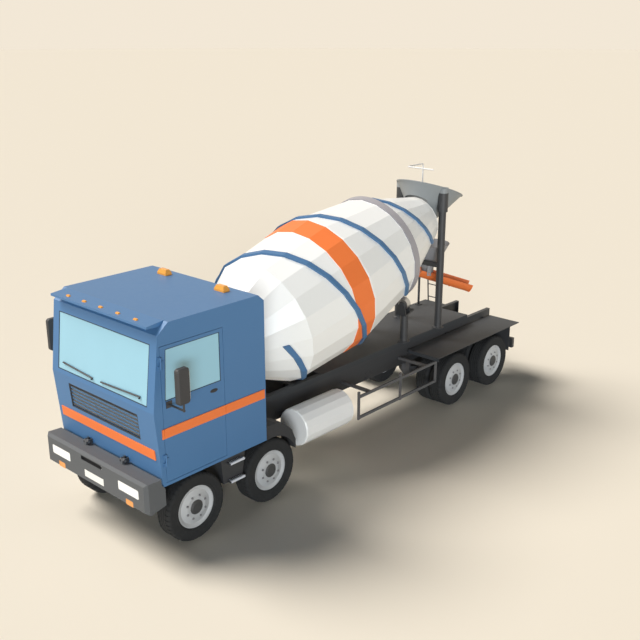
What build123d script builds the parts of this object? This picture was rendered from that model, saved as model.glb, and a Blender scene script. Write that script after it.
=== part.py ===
"""Four-axle concrete mixer truck, modelled in millimetres.

X runs forward along the truck, Y to its left and Z up. The origin lies on the
ground under the middle of the overall length.
"""
import os
from math import cos, radians, sin

from build123d import *

os.makedirs("parts", exist_ok=True)

# ---------------------------------------------------------------- layout
FRONT_OVERHANG = 922
AXLE_GAP_12 = 1504
AXLE_GAP_23 = 5096
AXLE_GAP_34 = 1375
REAR_OVERHANG = 955
LENGTH = FRONT_OVERHANG + AXLE_GAP_12 + AXLE_GAP_23 + AXLE_GAP_34 + REAR_OVERHANG
FRONT_X = LENGTH / 2
REAR_X = -LENGTH / 2
AXLE_1 = FRONT_X - FRONT_OVERHANG
AXLE_2 = AXLE_1 - AXLE_GAP_12
AXLE_3 = AXLE_2 - AXLE_GAP_23
AXLE_4 = AXLE_3 - AXLE_GAP_34

# ---------------------------------------------------------------- clearances
SEAT = 0.3
RUNNING = 0.5
MOVING = 8
DOOR_GAP = 7

# ---------------------------------------------------------------- wheels
TYRE_RADIUS = 525
TYRE_WIDTH = 280
TYRE_SHOULDER = 28
RIM_RADIUS = 328
RIM_WALL = 28
RIM_DISC = 24
RIM_DISH = 30
HUB_RADIUS = 108
HUB_CAP = 14
SPINDLE_RADIUS = 45
TRACK_HALF = 1035
TWIN_GAP = 40
TWIN_STEP = TYRE_WIDTH + TWIN_GAP
DISC_FACE = 125

# ---------------------------------------------------------------- frame
RAIL_OUTER = 440
RAIL_FLANGE = 80
RAIL_WEB = 12
RAIL_BOTTOM = 880
RAIL_TOP = 1290
RAIL_LOW_TOP = 1090
RAIL_STEP_FRONT = AXLE_1 - 1430
RAIL_STEP_LENGTH = 120
CROSS_LENGTH = 70
CROSS_HEIGHT = 150
CROSS_DROP = 40
DECK_HEIGHT = 95
DECK_OUTER = 490
DECK_INNER = 400
DECK_PLATE = 10
DECK_FRONT = AXLE_1 - 1600
DECK_REAR = AXLE_4
DECK_CLOSED = AXLE_1 - 3450
DECK_TOP = RAIL_TOP + SEAT + DECK_HEIGHT

# ---------------------------------------------------------------- cab
CAB_HALF = 1229
CAB_WALL = 45
CAB_BOTTOM = 1118
CAB_REAR = AXLE_1 - 1370
CAB_ROOF = 3467
ROOF_FRONT = AXLE_1 + 379
ROOF_REAR = AXLE_1 - 1256
BACK_BEVEL_Z = 3366
FACE_FOOT = AXLE_1 + 606
CREASE_X = AXLE_1 + 700
CREASE_Z = 2240
BROW_X = AXLE_1 + 566
BROW_Z = 3314
GLASS = 8
GLASS_RECESS = 6
SCREEN_HALF = CAB_HALF - 149
SCREEN_BOTTOM = 2300
SCREEN_TOP = 3174
GRILLE_HALF = CAB_HALF - 389
GRILLE_BOTTOM = 1733
GRILLE_TOP = 2124
GRILLE_SLATS = 6
GRILLE_SLAT = 26
STRIPE = 12
STRIPE_FRONT_HALF = CAB_HALF - 89
STRIPE_FRONT_LOW = 1513
STRIPE_FRONT_HIGH = 1663
STRIPE_SIDE_LOW = 1834
STRIPE_SIDE_HIGH = 1977
STRIPE_NOSE = AXLE_1 + 583
STRIPE_TAIL = AXLE_1 - 1340
DOOR_FRONT = AXLE_1 + 550
DOOR_REAR = AXLE_1 - 563
DOOR_BOTTOM = 1165
DOOR_TOP = CAB_ROOF - 307
WINDOW_BOTTOM = 2370
WINDOW_TOP = DOOR_TOP - 55
WINDOW_REAR = AXLE_1 - 495
WINDOW_FRONT_LOW = AXLE_1 + 500
WINDOW_FRONT_HIGH = AXLE_1 + 455
HINGE_OFFSET = 16
HINGE_RADIUS = 13
HINGE_PIN = 6
HINGE_LEAF = 44
HINGE_KNUCKLE = 60
HINGE_LEVELS = (DOOR_BOTTOM + 255, DOOR_TOP - 320)
VISOR_HALF = CAB_HALF - 93
VISOR_REACH = AXLE_1 + 665
LAMP_SPACING = 400
BEACON_X = AXLE_1 - 1060
BEACON_Y = CAB_HALF - 559
PIVOT_X = AXLE_1 + 705
PIVOT_Z = 1300
PIVOT_Y = 450
PIVOT_PIN = 18

# ---------------------------------------------------------------- drum
DRUM_X = AXLE_1 - 4000
DRUM_Z = 2825
DRUM_TILT = 14.17
DRUM_SIDES = 20
DRUM_SKIN = 14
DRUM_NOSE = (-2250, 650)
DRUM_SHOULDER = (-1522, 1117)
DRUM_BELLY = (-41, 1232)
DRUM_TRACK = (1333, 1035)
DRUM_MOUTH = (2850, 481)
BAND_START = -474
BAND_END = -68
BAND_HEIGHT = 10
RIB_WIDTH = 86
RIB_HEIGHT = 40
RIB_PITCH = 2800
RIB_START = -1900
RIB_END = 2560
RIB_GAP = 95
TRACK_SETBACK = 12
TRACK_WIDTH = 130
TRACK_PROUD = 13
TRACK_START = DRUM_TRACK[0] + TRACK_SETBACK
TRACK_END = TRACK_START + TRACK_WIDTH
TRACK_RADIUS = DRUM_TRACK[1] + TRACK_PROUD
ROLLER_RADIUS = 110
ROLLER_WIDTH = 100
ROLLER_ANGLE = 31.3
ROLLER_PIN = 30

# ---------------------------------------------------------------- hopper, collector, chute
HOPPER_X = AXLE_1 - 7126
HOPPER_Z = 4108
HOPPER_RADIUS = 650
HOPPER_TILT = 20.4
HOPPER_DEPTH = 800
HOPPER_OUTLET = 112
HOPPER_SHEET = 8
POST_X = AXLE_1 - 6880
POST_Y = 500
POST_RADIUS = 72
POST_TOP = 4070
POST_CAP = 85
POST_CAP_HEIGHT = 120
BEAM_X = AXLE_1 - 6830
BEAM_DEPTH = 80
BEAM_LOW = 2640
COLUMN_X = DRUM_X - TRACK_START - 415
COLUMN_Y = 500
COLUMN_RADIUS = 75
CHUTE_X = AXLE_1 - 7165
OUTLET_RADIUS = 120
OUTLET_BOTTOM = 2400
FUNNEL_BOTTOM = 2575
FUNNEL_TOP = 2990
FUNNEL_LOW_RADIUS = 200
FUNNEL_HIGH_RADIUS = 420
YOKE_HEIGHT = 40
YOKE_TOP = 2566
CHUTE_RADIUS = 180
CHUTE_SHEET = 8
CHUTE_HEAD = 160
CHUTE_LENGTH = 950
CHUTE_SLOPE = 17.6
CHUTE_HEADING = 135
CHUTE_PIVOT_Z = 2400
CHUTE_RIM_RISE = 20
CHUTE_PIN = 12

# the drum's own plane: local x points up square to the axis, local y to the
# left and local z along the axis towards the mouth
AXIS_RUN = -cos(radians(DRUM_TILT))
AXIS_RISE = sin(radians(DRUM_TILT))
DRUM_PLANE = Plane(
    origin=(DRUM_X, 0, DRUM_Z),
    x_dir=(AXIS_RISE, 0, -AXIS_RUN),
    z_dir=(AXIS_RUN, 0, AXIS_RISE),
)
DRUM_STATIONS = (DRUM_NOSE, DRUM_SHOULDER, DRUM_BELLY, DRUM_TRACK, DRUM_MOUTH)


def drum_radius(station):
    """Radius to the drum's corners at a distance along its axis."""
    for (s0, r0), (s1, r1) in zip(DRUM_STATIONS, DRUM_STATIONS[1:]):
        if station <= s1:
            return r0 + (r1 - r0) * (station - s0) / (s1 - s0)
    return DRUM_MOUTH[1]


def drum_loft(stations, growth):
    """Faceted solid through the drum's stations, grown outwards."""
    with BuildPart() as skin:
        for station, radius in stations:
            with BuildSketch(DRUM_PLANE.offset(station)):
                RegularPolygon(radius + growth, DRUM_SIDES)
        loft(ruled=True)
    flats = [Face(facet.outer_wire()) for facet in skin.faces()]
    return Solid(Shell(flats))


nodes = []


def keep(name, part):
    """Label a finished piece and remember it for export."""
    part.label = name
    nodes.append((name, part))


# ================================================================ chassis frame
TANK_RADIUS = 320
TANK_SIDES = 16
TANK_Y = 905
TANK_Z = 908
TANK_FRONT = AXLE_1 - 2290
TANK_REAR = AXLE_1 - 3460
TANK_BRACKETS = (AXLE_1 - 2560, AXLE_1 - 3190)

with BuildPart() as tank_space:
    with BuildSketch(Plane.YZ.offset(TANK_REAR - SEAT)):
        with Locations((TANK_Y, TANK_Z), (-TANK_Y, TANK_Z)):
            RegularPolygon(TANK_RADIUS + SEAT, TANK_SIDES, rotation=180 / TANK_SIDES)
    extrude(amount=TANK_FRONT - TANK_REAR + 2 * SEAT)

BUMPER_WALL = 60
RAIL_FRONT = FRONT_X - BUMPER_WALL - SEAT
RAIL_OUTLINE = (
    (REAR_X, RAIL_BOTTOM),
    (RAIL_FRONT, RAIL_BOTTOM),
    (RAIL_FRONT, RAIL_LOW_TOP),
    (RAIL_STEP_FRONT, RAIL_LOW_TOP),
    (RAIL_STEP_FRONT - RAIL_STEP_LENGTH, RAIL_TOP),
    (REAR_X, RAIL_TOP),
)
CROSS_STATIONS = (
    AXLE_1 + 560,
    AXLE_1 - 1660,
    AXLE_1 - 2400,
    AXLE_1 - 3450,
    AXLE_1 - 4750,
    AXLE_3 + 620,
    (AXLE_3 + AXLE_4) / 2,
    REAR_X + 160,
)
BRACKET_LENGTH = 60
BRACKET_LOW = 840
BRACKET_HIGH = 980

with BuildPart() as chassis_frame:
    for side in (1, -1):
        web = side * (RAIL_OUTER - RAIL_WEB / 2)
        flange = side * (RAIL_OUTER - RAIL_FLANGE / 2)
        with BuildSketch(Plane.XZ.offset(-flange)):
            with BuildLine():
                Polyline(*RAIL_OUTLINE, close=True)
            make_face()
        extrude(amount=RAIL_FLANGE / 2, both=True)
        with BuildSketch(Plane.XZ.offset(-side * (RAIL_OUTER - RAIL_WEB - RAIL_FLANGE))):
            with BuildLine():
                Polyline(*RAIL_OUTLINE, close=True)
            make_face()
            offset(amount=-RAIL_WEB, kind=Kind.INTERSECTION, mode=Mode.REPLACE)
        extrude(amount=RAIL_FLANGE, both=True, mode=Mode.SUBTRACT)
    for station in CROSS_STATIONS:
        with Locations((station, 0, RAIL_LOW_TOP - CROSS_DROP - CROSS_HEIGHT / 2)):
            Box(CROSS_LENGTH, 2 * (RAIL_OUTER - RAIL_WEB), CROSS_HEIGHT)
    for station in TANK_BRACKETS:
        with Locations((station, 0, (BRACKET_LOW + BRACKET_HIGH) / 2)):
            with Locations((0, (RAIL_OUTER + TANK_Y) / 2, 0), (0, -(RAIL_OUTER + TANK_Y) / 2, 0)):
                Box(BRACKET_LENGTH, TANK_Y - RAIL_OUTER, BRACKET_HIGH - BRACKET_LOW)
    add(tank_space.part, mode=Mode.SUBTRACT)
keep("chassis_frame", chassis_frame.part)

with BuildPart() as fuel_tanks:
    with BuildSketch(Plane.YZ.offset(TANK_REAR)):
        with Locations((TANK_Y, TANK_Z), (-TANK_Y, TANK_Z)):
            RegularPolygon(TANK_RADIUS, TANK_SIDES, rotation=180 / TANK_SIDES)
    extrude(amount=TANK_FRONT - TANK_REAR)
    ends = fuel_tanks.faces().filter_by(Axis.X)
    chamfer(ends.edges(), length=18)
keep("fuel_tanks", fuel_tanks.part)

# ================================================================ subframe under the drum
DECK_BASE = RAIL_TOP + SEAT
DECK_CROSS = (AXLE_1 - 1640, AXLE_1 - 2300, AXLE_1 - 2900)
with BuildPart() as subframe:
    for side in (1, -1):
        with Locations(
            (
                (DECK_FRONT + DECK_REAR) / 2,
                side * (DECK_OUTER + DECK_INNER) / 2,
                DECK_BASE + DECK_HEIGHT / 2,
            )
        ):
            Box(DECK_FRONT - DECK_REAR, DECK_OUTER - DECK_INNER, DECK_HEIGHT)
    with Locations(((DECK_CLOSED + DECK_REAR) / 2, 0, DECK_TOP - DECK_PLATE / 2)):
        Box(DECK_CLOSED - DECK_REAR, 2 * DECK_OUTER, DECK_PLATE)
    for station in DECK_CROSS:
        with Locations((station, 0, DECK_BASE + DECK_PLATE)):
            Box(80, 2 * DECK_OUTER, 2 * DECK_PLATE)
keep("subframe", subframe.part)

# ================================================================ drum pedestal and gearbox
GEARBOX_RADIUS = 250
GEARBOX_START = DRUM_NOSE[0] - 12
GEARBOX_END = DRUM_NOSE[0] - 290
SHAFT_RADIUS = 80
SHAFT_LENGTH = 110
PEDESTAL_FRONT = AXLE_1 - 1520
PEDESTAL_REAR = AXLE_1 - 1780
PEDESTAL_HALF = 420
PEDESTAL_TOP_HALF = 230
PEDESTAL_TOP = 2080
with BuildPart() as drum_pedestal:
    with BuildSketch(Plane.YZ.offset(PEDESTAL_REAR)):
        with BuildLine():
            Polyline(
                (-PEDESTAL_HALF, DECK_TOP + SEAT),
                (PEDESTAL_HALF, DECK_TOP + SEAT),
                (PEDESTAL_TOP_HALF, PEDESTAL_TOP),
                (-PEDESTAL_TOP_HALF, PEDESTAL_TOP),
                close=True,
            )
        make_face()
    extrude(amount=PEDESTAL_FRONT - PEDESTAL_REAR)
    with BuildSketch(Plane.YZ.offset(PEDESTAL_REAR)):
        with BuildLine():
            Polyline(
                (-PEDESTAL_HALF + 130, DECK_TOP + SEAT),
                (PEDESTAL_HALF - 130, DECK_TOP + SEAT),
                (PEDESTAL_TOP_HALF - 60, PEDESTAL_TOP - 260),
                (-PEDESTAL_TOP_HALF + 60, PEDESTAL_TOP - 260),
                close=True,
            )
        make_face()
    extrude(amount=PEDESTAL_FRONT - PEDESTAL_REAR, mode=Mode.SUBTRACT)
    with BuildSketch(DRUM_PLANE.offset(GEARBOX_END)):
        Circle(GEARBOX_RADIUS)
    extrude(amount=GEARBOX_START - GEARBOX_END)
    with BuildSketch(DRUM_PLANE.offset(GEARBOX_START)):
        Circle(SHAFT_RADIUS + RUNNING)
    extrude(amount=-SHAFT_LENGTH, mode=Mode.SUBTRACT)
keep("drum_pedestal", drum_pedestal.part)

# ================================================================ drum
drum_outer = drum_loft(DRUM_STATIONS, 0)
INNER_STATIONS = (
    (DRUM_NOSE[0] + DRUM_SKIN, DRUM_NOSE[1]),
    DRUM_SHOULDER,
    DRUM_BELLY,
    DRUM_TRACK,
    (DRUM_MOUTH[0] + 1, DRUM_MOUTH[1]),
)
drum_inner = drum_loft(INNER_STATIONS, -DRUM_SKIN)
with BuildPart() as drum_shell:
    add(drum_outer)
    add(drum_inner, mode=Mode.SUBTRACT)
    with BuildSketch(DRUM_PLANE.offset(DRUM_NOSE[0] + DRUM_SKIN / 2)):
        Circle(SHAFT_RADIUS)
    extrude(amount=-(SHAFT_LENGTH + DRUM_SKIN / 2 - 10 + 12))
keep("drum_shell", drum_shell.part)

BAND_STATIONS = (
    (BAND_START, drum_radius(BAND_START)),
    (BAND_END, drum_radius(BAND_END)),
)
drum_cut = drum_loft(DRUM_STATIONS, SEAT)
with BuildPart() as drum_band:
    add(drum_loft(BAND_STATIONS, BAND_HEIGHT))
    add(drum_cut, mode=Mode.SUBTRACT)
keep("drum_band", drum_band.part)

with BuildPart() as drum_track:
    with BuildSketch(DRUM_PLANE.offset(TRACK_START)):
        Circle(TRACK_RADIUS)
    extrude(amount=TRACK_END - TRACK_START)
    add(drum_cut, mode=Mode.SUBTRACT)
keep("drum_track", drum_track.part)

RIB_ROOT = 60
RIB_STEP = 360 / DRUM_SIDES
with BuildPart() as band_cut:
    add(drum_loft(BAND_STATIONS, BAND_HEIGHT + SEAT))
with BuildPart() as drum_ribs:
    for start_angle in (90, -90):
        for first, last in ((RIB_START, TRACK_START - RIB_GAP), (TRACK_END + RIB_GAP, RIB_END)):
            count = 0
            while RIB_START + RIB_PITCH * RIB_STEP * count / 360 <= last:
                station = RIB_START + RIB_PITCH * RIB_STEP * count / 360
                angle = start_angle + RIB_STEP * count
                count += 1
                if station < first:
                    continue
                low = station - RIB_WIDTH / 2
                high = station + RIB_WIDTH / 2
                section = Plane(
                    origin=DRUM_PLANE.origin,
                    x_dir=DRUM_PLANE.x_dir * cos(radians(angle))
                    + DRUM_PLANE.y_dir * sin(radians(angle)),
                    z_dir=DRUM_PLANE.y_dir * cos(radians(angle))
                    - DRUM_PLANE.x_dir * sin(radians(angle)),
                )
                with BuildSketch(section):
                    with BuildLine():
                        Polyline(
                            (drum_radius(low) - RIB_ROOT, -low),
                            (drum_radius(low) + RIB_HEIGHT, -low),
                            (drum_radius(high) + RIB_HEIGHT, -high),
                            (drum_radius(high) - RIB_ROOT, -high),
                            close=True,
                        )
                    make_face()
            loft(ruled=True)
    add(drum_cut, mode=Mode.SUBTRACT)
    add(band_cut.part, mode=Mode.SUBTRACT)
keep("drum_ribs", drum_ribs.part)

# ================================================================ rollers and deck columns
ROLLER_STATION = (TRACK_START + TRACK_END) / 2
ROLLER_REACH = TRACK_RADIUS + SEAT + ROLLER_RADIUS
ROLLER_DROP = ROLLER_REACH * cos(radians(ROLLER_ANGLE))
ROLLER_OUT = ROLLER_REACH * sin(radians(ROLLER_ANGLE))
CHEEK = 16
CHEEK_GAP = MOVING
SADDLE_DEPTH = 215
SADDLE_PLATE = 30
SADDLE_FRONT = ROLLER_STATION - ROLLER_WIDTH / 2 - CHEEK_GAP - CHEEK
SADDLE_REAR = ROLLER_STATION + 190

with BuildPart() as deck_columns:
    for side in (1, -1):
        with Locations((COLUMN_X, side * COLUMN_Y, DECK_TOP + SEAT)):
            Cylinder(
                COLUMN_RADIUS,
                DRUM_Z - 745 - DECK_TOP,
                align=(Align.CENTER, Align.CENTER, Align.MIN),
            )
        for cheek in (SADDLE_FRONT, ROLLER_STATION + ROLLER_WIDTH / 2 + CHEEK_GAP):
            with BuildSketch(DRUM_PLANE.offset(cheek)):
                with BuildLine():
                    Polyline(
                        (-ROLLER_DROP + 40, side * (ROLLER_OUT - 45)),
                        (-ROLLER_DROP + 40, side * (ROLLER_OUT + 25)),
                        (-ROLLER_DROP - 40, side * (ROLLER_OUT + 60)),
                        (-ROLLER_DROP - SADDLE_DEPTH, side * (ROLLER_OUT + 60)),
                        (-ROLLER_DROP - SADDLE_DEPTH, side * (COLUMN_Y - 80)),
                        close=True,
                    )
                make_face()
            extrude(amount=CHEEK)
        with BuildSketch(DRUM_PLANE.offset(SADDLE_FRONT)):
            with BuildLine():
                Polyline(
                    (-ROLLER_DROP - SADDLE_DEPTH, side * (COLUMN_Y - 80)),
                    (-ROLLER_DROP - SADDLE_DEPTH, side * (ROLLER_OUT + 60)),
                    (-ROLLER_DROP - SADDLE_DEPTH - SADDLE_PLATE, side * (ROLLER_OUT + 60)),
                    (-ROLLER_DROP - SADDLE_DEPTH - SADDLE_PLATE, side * (COLUMN_Y - 80)),
                    close=True,
                )
            make_face()
        extrude(amount=SADDLE_REAR - SADDLE_FRONT)
        with BuildSketch(DRUM_PLANE.offset(SADDLE_FRONT)):
            with Locations((-ROLLER_DROP, side * ROLLER_OUT)):
                Circle(ROLLER_PIN)
        extrude(amount=ROLLER_WIDTH + 2 * CHEEK_GAP + 2 * CHEEK)
keep("deck_columns", deck_columns.part)

for label, side in (("roller_left", 1), ("roller_right", -1)):
    with BuildPart() as roller:
        with BuildSketch(DRUM_PLANE.offset(ROLLER_STATION - ROLLER_WIDTH / 2)):
            with Locations((-ROLLER_DROP, side * ROLLER_OUT)):
                Circle(ROLLER_RADIUS)
                Circle(ROLLER_PIN + RUNNING, mode=Mode.SUBTRACT)
        extrude(amount=ROLLER_WIDTH)
    keep(label, roller.part)

# ================================================================ hopper on its rear posts
HOPPER_AXIS = Plane(
    origin=(HOPPER_X, 0, HOPPER_Z),
    x_dir=(cos(radians(HOPPER_TILT)), 0, sin(radians(HOPPER_TILT))),
    z_dir=(sin(radians(HOPPER_TILT)), 0, -cos(radians(HOPPER_TILT))),
)
SPOUT_RADIUS = 140
SPOUT_START = DRUM_MOUTH[0] - 160
SPOUT_END = DRUM_MOUTH[0] + 150
SPOUT_DROP = -161
HOPPER_FLARE = (HOPPER_RADIUS - HOPPER_OUTLET) / HOPPER_DEPTH
SLEEVE_WALL = 14
MOUTH_CLEAR = 35
HOPPER_LIP = 14

with BuildPart() as mouth_sweep:
    with BuildSketch(DRUM_PLANE.offset(DRUM_MOUTH[0] - 500)):
        Circle(DRUM_MOUTH[1] + 500 * 0.37 + MOUTH_CLEAR)
    with BuildSketch(DRUM_PLANE.offset(DRUM_MOUTH[0] + MOUTH_CLEAR)):
        Circle(DRUM_MOUTH[1] + MOUTH_CLEAR)
    loft(ruled=True)
    with BuildSketch(DRUM_PLANE.offset(DRUM_MOUTH[0] - 500)):
        Circle(DRUM_MOUTH[1] - DRUM_SKIN - MOUTH_CLEAR)
    extrude(amount=600, mode=Mode.SUBTRACT)

with BuildPart() as hopper_inside:
    with BuildSketch(HOPPER_AXIS.offset(-1)):
        Circle(HOPPER_RADIUS + HOPPER_FLARE - HOPPER_SHEET)
    with BuildSketch(HOPPER_AXIS.offset(HOPPER_DEPTH + 1)):
        Circle(HOPPER_OUTLET - HOPPER_FLARE - HOPPER_SHEET)
    loft(ruled=True)
    with BuildSketch(DRUM_PLANE.offset(SPOUT_START - 1)):
        with Locations((SPOUT_DROP, 0)):
            Circle(SPOUT_RADIUS - HOPPER_SHEET)
    extrude(amount=SPOUT_END - SPOUT_START - HOPPER_SHEET)

with BuildPart() as post_space:
    with Locations((POST_X, POST_Y, DECK_TOP), (POST_X, -POST_Y, DECK_TOP)):
        Cylinder(
            POST_RADIUS + SEAT,
            POST_TOP - DECK_TOP + SEAT,
            align=(Align.CENTER, Align.CENTER, Align.MIN),
        )
    with Locations((POST_X, POST_Y, POST_TOP), (POST_X, -POST_Y, POST_TOP)):
        Cylinder(
            POST_CAP + SEAT,
            POST_CAP_HEIGHT + SEAT,
            align=(Align.CENTER, Align.CENTER, Align.MIN),
        )

with BuildPart() as hopper:
    with BuildSketch(HOPPER_AXIS):
        Circle(HOPPER_RADIUS)
    with BuildSketch(HOPPER_AXIS.offset(HOPPER_DEPTH)):
        Circle(HOPPER_OUTLET)
    loft(ruled=True)
    with BuildSketch(HOPPER_AXIS):
        Circle(HOPPER_RADIUS + HOPPER_LIP)
    extrude(amount=HOPPER_LIP)
    with BuildSketch(DRUM_PLANE.offset(SPOUT_START)):
        with Locations((SPOUT_DROP, 0)):
            Circle(SPOUT_RADIUS)
    extrude(amount=SPOUT_END - SPOUT_START)
    add(hopper_inside.part, mode=Mode.SUBTRACT)
    with BuildSketch(Plane.XY.offset(POST_TOP - 330)):
        with Locations((POST_X, POST_Y), (POST_X, -POST_Y)):
            Circle(POST_CAP + SLEEVE_WALL)
    extrude(amount=POST_CAP_HEIGHT + 340)
    add(post_space.part, mode=Mode.SUBTRACT)
    add(mouth_sweep.part, mode=Mode.SUBTRACT)
keep("hopper", hopper.part)

with BuildPart() as rear_posts:
    with Locations((POST_X, POST_Y, DECK_TOP + SEAT), (POST_X, -POST_Y, DECK_TOP + SEAT)):
        Cylinder(
            POST_RADIUS,
            POST_TOP - DECK_TOP - SEAT,
            align=(Align.CENTER, Align.CENTER, Align.MIN),
        )
    with Locations((POST_X, POST_Y, POST_TOP), (POST_X, -POST_Y, POST_TOP)):
        Cylinder(
            POST_CAP,
            POST_CAP_HEIGHT,
            align=(Align.CENTER, Align.CENTER, Align.MIN),
        )
    with Locations((BEAM_X, 0, BEAM_LOW + BEAM_DEPTH / 2)):
        Box(BEAM_DEPTH, 2 * POST_Y, BEAM_DEPTH)
keep("rear_posts", rear_posts.part)

# ================================================================ collector and chute
NECK_WALL = 10
COLLAR_RADIUS = 165
COLLAR_HEIGHT = 16
YOKE_ARM = 18
YOKE_REACH = CHUTE_RADIUS + 6
FUNNEL_SHEET = 8
TAB_WIDTH = 240

with BuildPart() as drum_sweep:
    with BuildSketch(DRUM_PLANE.offset(DRUM_TRACK[0])):
        Circle(DRUM_TRACK[1] + MOUTH_CLEAR)
    with BuildSketch(DRUM_PLANE.offset(DRUM_MOUTH[0] + MOUTH_CLEAR)):
        Circle(DRUM_MOUTH[1] + MOUTH_CLEAR)
    loft(ruled=True)

with BuildPart() as collector:
    with BuildSketch(Plane.XY.offset(FUNNEL_BOTTOM)):
        with Locations((CHUTE_X, 0)):
            Circle(FUNNEL_LOW_RADIUS)
    with BuildSketch(Plane.XY.offset(FUNNEL_TOP)):
        with Locations((CHUTE_X, 0)):
            Circle(FUNNEL_HIGH_RADIUS)
    loft(ruled=True)
    with BuildSketch(Plane.XY.offset(OUTLET_BOTTOM)):
        with Locations((CHUTE_X, 0)):
            Circle(OUTLET_RADIUS)
    extrude(until=Until.NEXT)
    with BuildSketch(Plane.XY.offset(YOKE_TOP - YOKE_HEIGHT - SEAT - COLLAR_HEIGHT)):
        with Locations((CHUTE_X, 0)):
            Circle(COLLAR_RADIUS - 18)
    extrude(amount=COLLAR_HEIGHT)
    with BuildSketch(Plane.XY.offset(FUNNEL_BOTTOM)):
        with Locations((CHUTE_X, 0)):
            Circle(OUTLET_RADIUS - NECK_WALL)
    extrude(amount=OUTLET_BOTTOM - FUNNEL_BOTTOM - 1, mode=Mode.SUBTRACT)
    with BuildSketch(Plane.XY.offset(FUNNEL_BOTTOM - 0.01)):
        with Locations((CHUTE_X, 0)):
            Circle(OUTLET_RADIUS - NECK_WALL)
    with BuildSketch(Plane.XY.offset(FUNNEL_BOTTOM + 40)):
        with Locations((CHUTE_X, 0)):
            Circle(FUNNEL_LOW_RADIUS)
    with BuildSketch(Plane.XY.offset(FUNNEL_TOP + 1)):
        with Locations((CHUTE_X, 0)):
            Circle(FUNNEL_HIGH_RADIUS - FUNNEL_SHEET)
    loft(ruled=True, mode=Mode.SUBTRACT)
    with BuildSketch(Plane.YZ.offset(BEAM_X - BEAM_DEPTH / 2 - SEAT - 40)):
        with Locations((0, BEAM_LOW + BEAM_DEPTH / 2)):
            Rectangle(2 * FUNNEL_HIGH_RADIUS - TAB_WIDTH, BEAM_DEPTH)
    extrude(amount=40)
    with BuildSketch(Plane.XY.offset(FUNNEL_BOTTOM + 40)):
        with Locations((CHUTE_X, 0)):
            Circle(FUNNEL_LOW_RADIUS - FUNNEL_SHEET)
    with BuildSketch(Plane.XY.offset(FUNNEL_TOP + 1)):
        with Locations((CHUTE_X, 0)):
            Circle(FUNNEL_HIGH_RADIUS - FUNNEL_SHEET)
    loft(ruled=True, mode=Mode.SUBTRACT)
    add(drum_sweep.part, mode=Mode.SUBTRACT)
keep("collector", collector.part)

CHUTE_HEAD_PLANE = Plane(
    origin=(CHUTE_X, 0, 0),
    x_dir=(cos(radians(CHUTE_HEADING)), sin(radians(CHUTE_HEADING)), 0),
    z_dir=(0, 0, 1),
)
with BuildPart() as chute_yoke:
    with BuildSketch(CHUTE_HEAD_PLANE.offset(YOKE_TOP - YOKE_HEIGHT)):
        Circle(COLLAR_RADIUS + 10)
        Rectangle(80, 2 * (YOKE_REACH + YOKE_ARM))
        Circle(OUTLET_RADIUS + RUNNING, mode=Mode.SUBTRACT)
    extrude(amount=YOKE_HEIGHT)
    with BuildSketch(CHUTE_HEAD_PLANE.offset(CHUTE_PIVOT_Z - 40)):
        with Locations(
            (0, YOKE_REACH + YOKE_ARM / 2),
            (0, -YOKE_REACH - YOKE_ARM / 2),
        ):
            Rectangle(80, YOKE_ARM)
    extrude(amount=YOKE_TOP - CHUTE_PIVOT_Z + 40)
    with BuildSketch(
        Plane(
            origin=(CHUTE_X, 0, CHUTE_PIVOT_Z),
            x_dir=CHUTE_HEAD_PLANE.x_dir,
            z_dir=CHUTE_HEAD_PLANE.y_dir,
        )
    ):
        Circle(CHUTE_PIN + RUNNING)
    extrude(amount=CHUTE_RADIUS + 90, both=True, mode=Mode.SUBTRACT)
keep("chute_yoke", chute_yoke.part)

SLOPE_DIR = (
    cos(radians(CHUTE_HEADING)) * cos(radians(CHUTE_SLOPE)),
    sin(radians(CHUTE_HEADING)) * cos(radians(CHUTE_SLOPE)),
    -sin(radians(CHUTE_SLOPE)),
)
CHUTE_PLANE = Plane(
    origin=(CHUTE_X, 0, CHUTE_PIVOT_Z),
    x_dir=CHUTE_HEAD_PLANE.y_dir,
    z_dir=SLOPE_DIR,
)
with BuildPart() as chute:
    with BuildSketch(CHUTE_PLANE.offset(-CHUTE_HEAD)):
        with Locations((0, CHUTE_RIM_RISE)):
            Circle(CHUTE_RADIUS)
            Circle(CHUTE_RADIUS - CHUTE_SHEET, mode=Mode.SUBTRACT)
            Rectangle(
                2 * CHUTE_RADIUS + 20,
                CHUTE_RADIUS + 20,
                align=(Align.CENTER, Align.MIN),
                mode=Mode.SUBTRACT,
            )
    extrude(amount=CHUTE_HEAD + CHUTE_LENGTH)
    with BuildSketch(CHUTE_PLANE.offset(-CHUTE_HEAD)):
        with Locations((0, CHUTE_RIM_RISE)):
            Circle(CHUTE_RADIUS)
            Rectangle(
                2 * CHUTE_RADIUS + 20,
                CHUTE_RADIUS + 20,
                align=(Align.CENTER, Align.MIN),
                mode=Mode.SUBTRACT,
            )
    extrude(amount=CHUTE_SHEET)
    for side in (1, -1):
        with BuildSketch(
            Plane(
                origin=Vector(CHUTE_X, 0, CHUTE_PIVOT_Z)
                + CHUTE_HEAD_PLANE.y_dir * side * (CHUTE_RADIUS - CHUTE_SHEET),
                x_dir=CHUTE_HEAD_PLANE.x_dir,
                z_dir=CHUTE_HEAD_PLANE.y_dir * side,
            )
        ):
            Circle(CHUTE_PIN)
        extrude(amount=CHUTE_SHEET + 6 + YOKE_ARM + 8)
keep("chute", chute.part)

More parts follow.
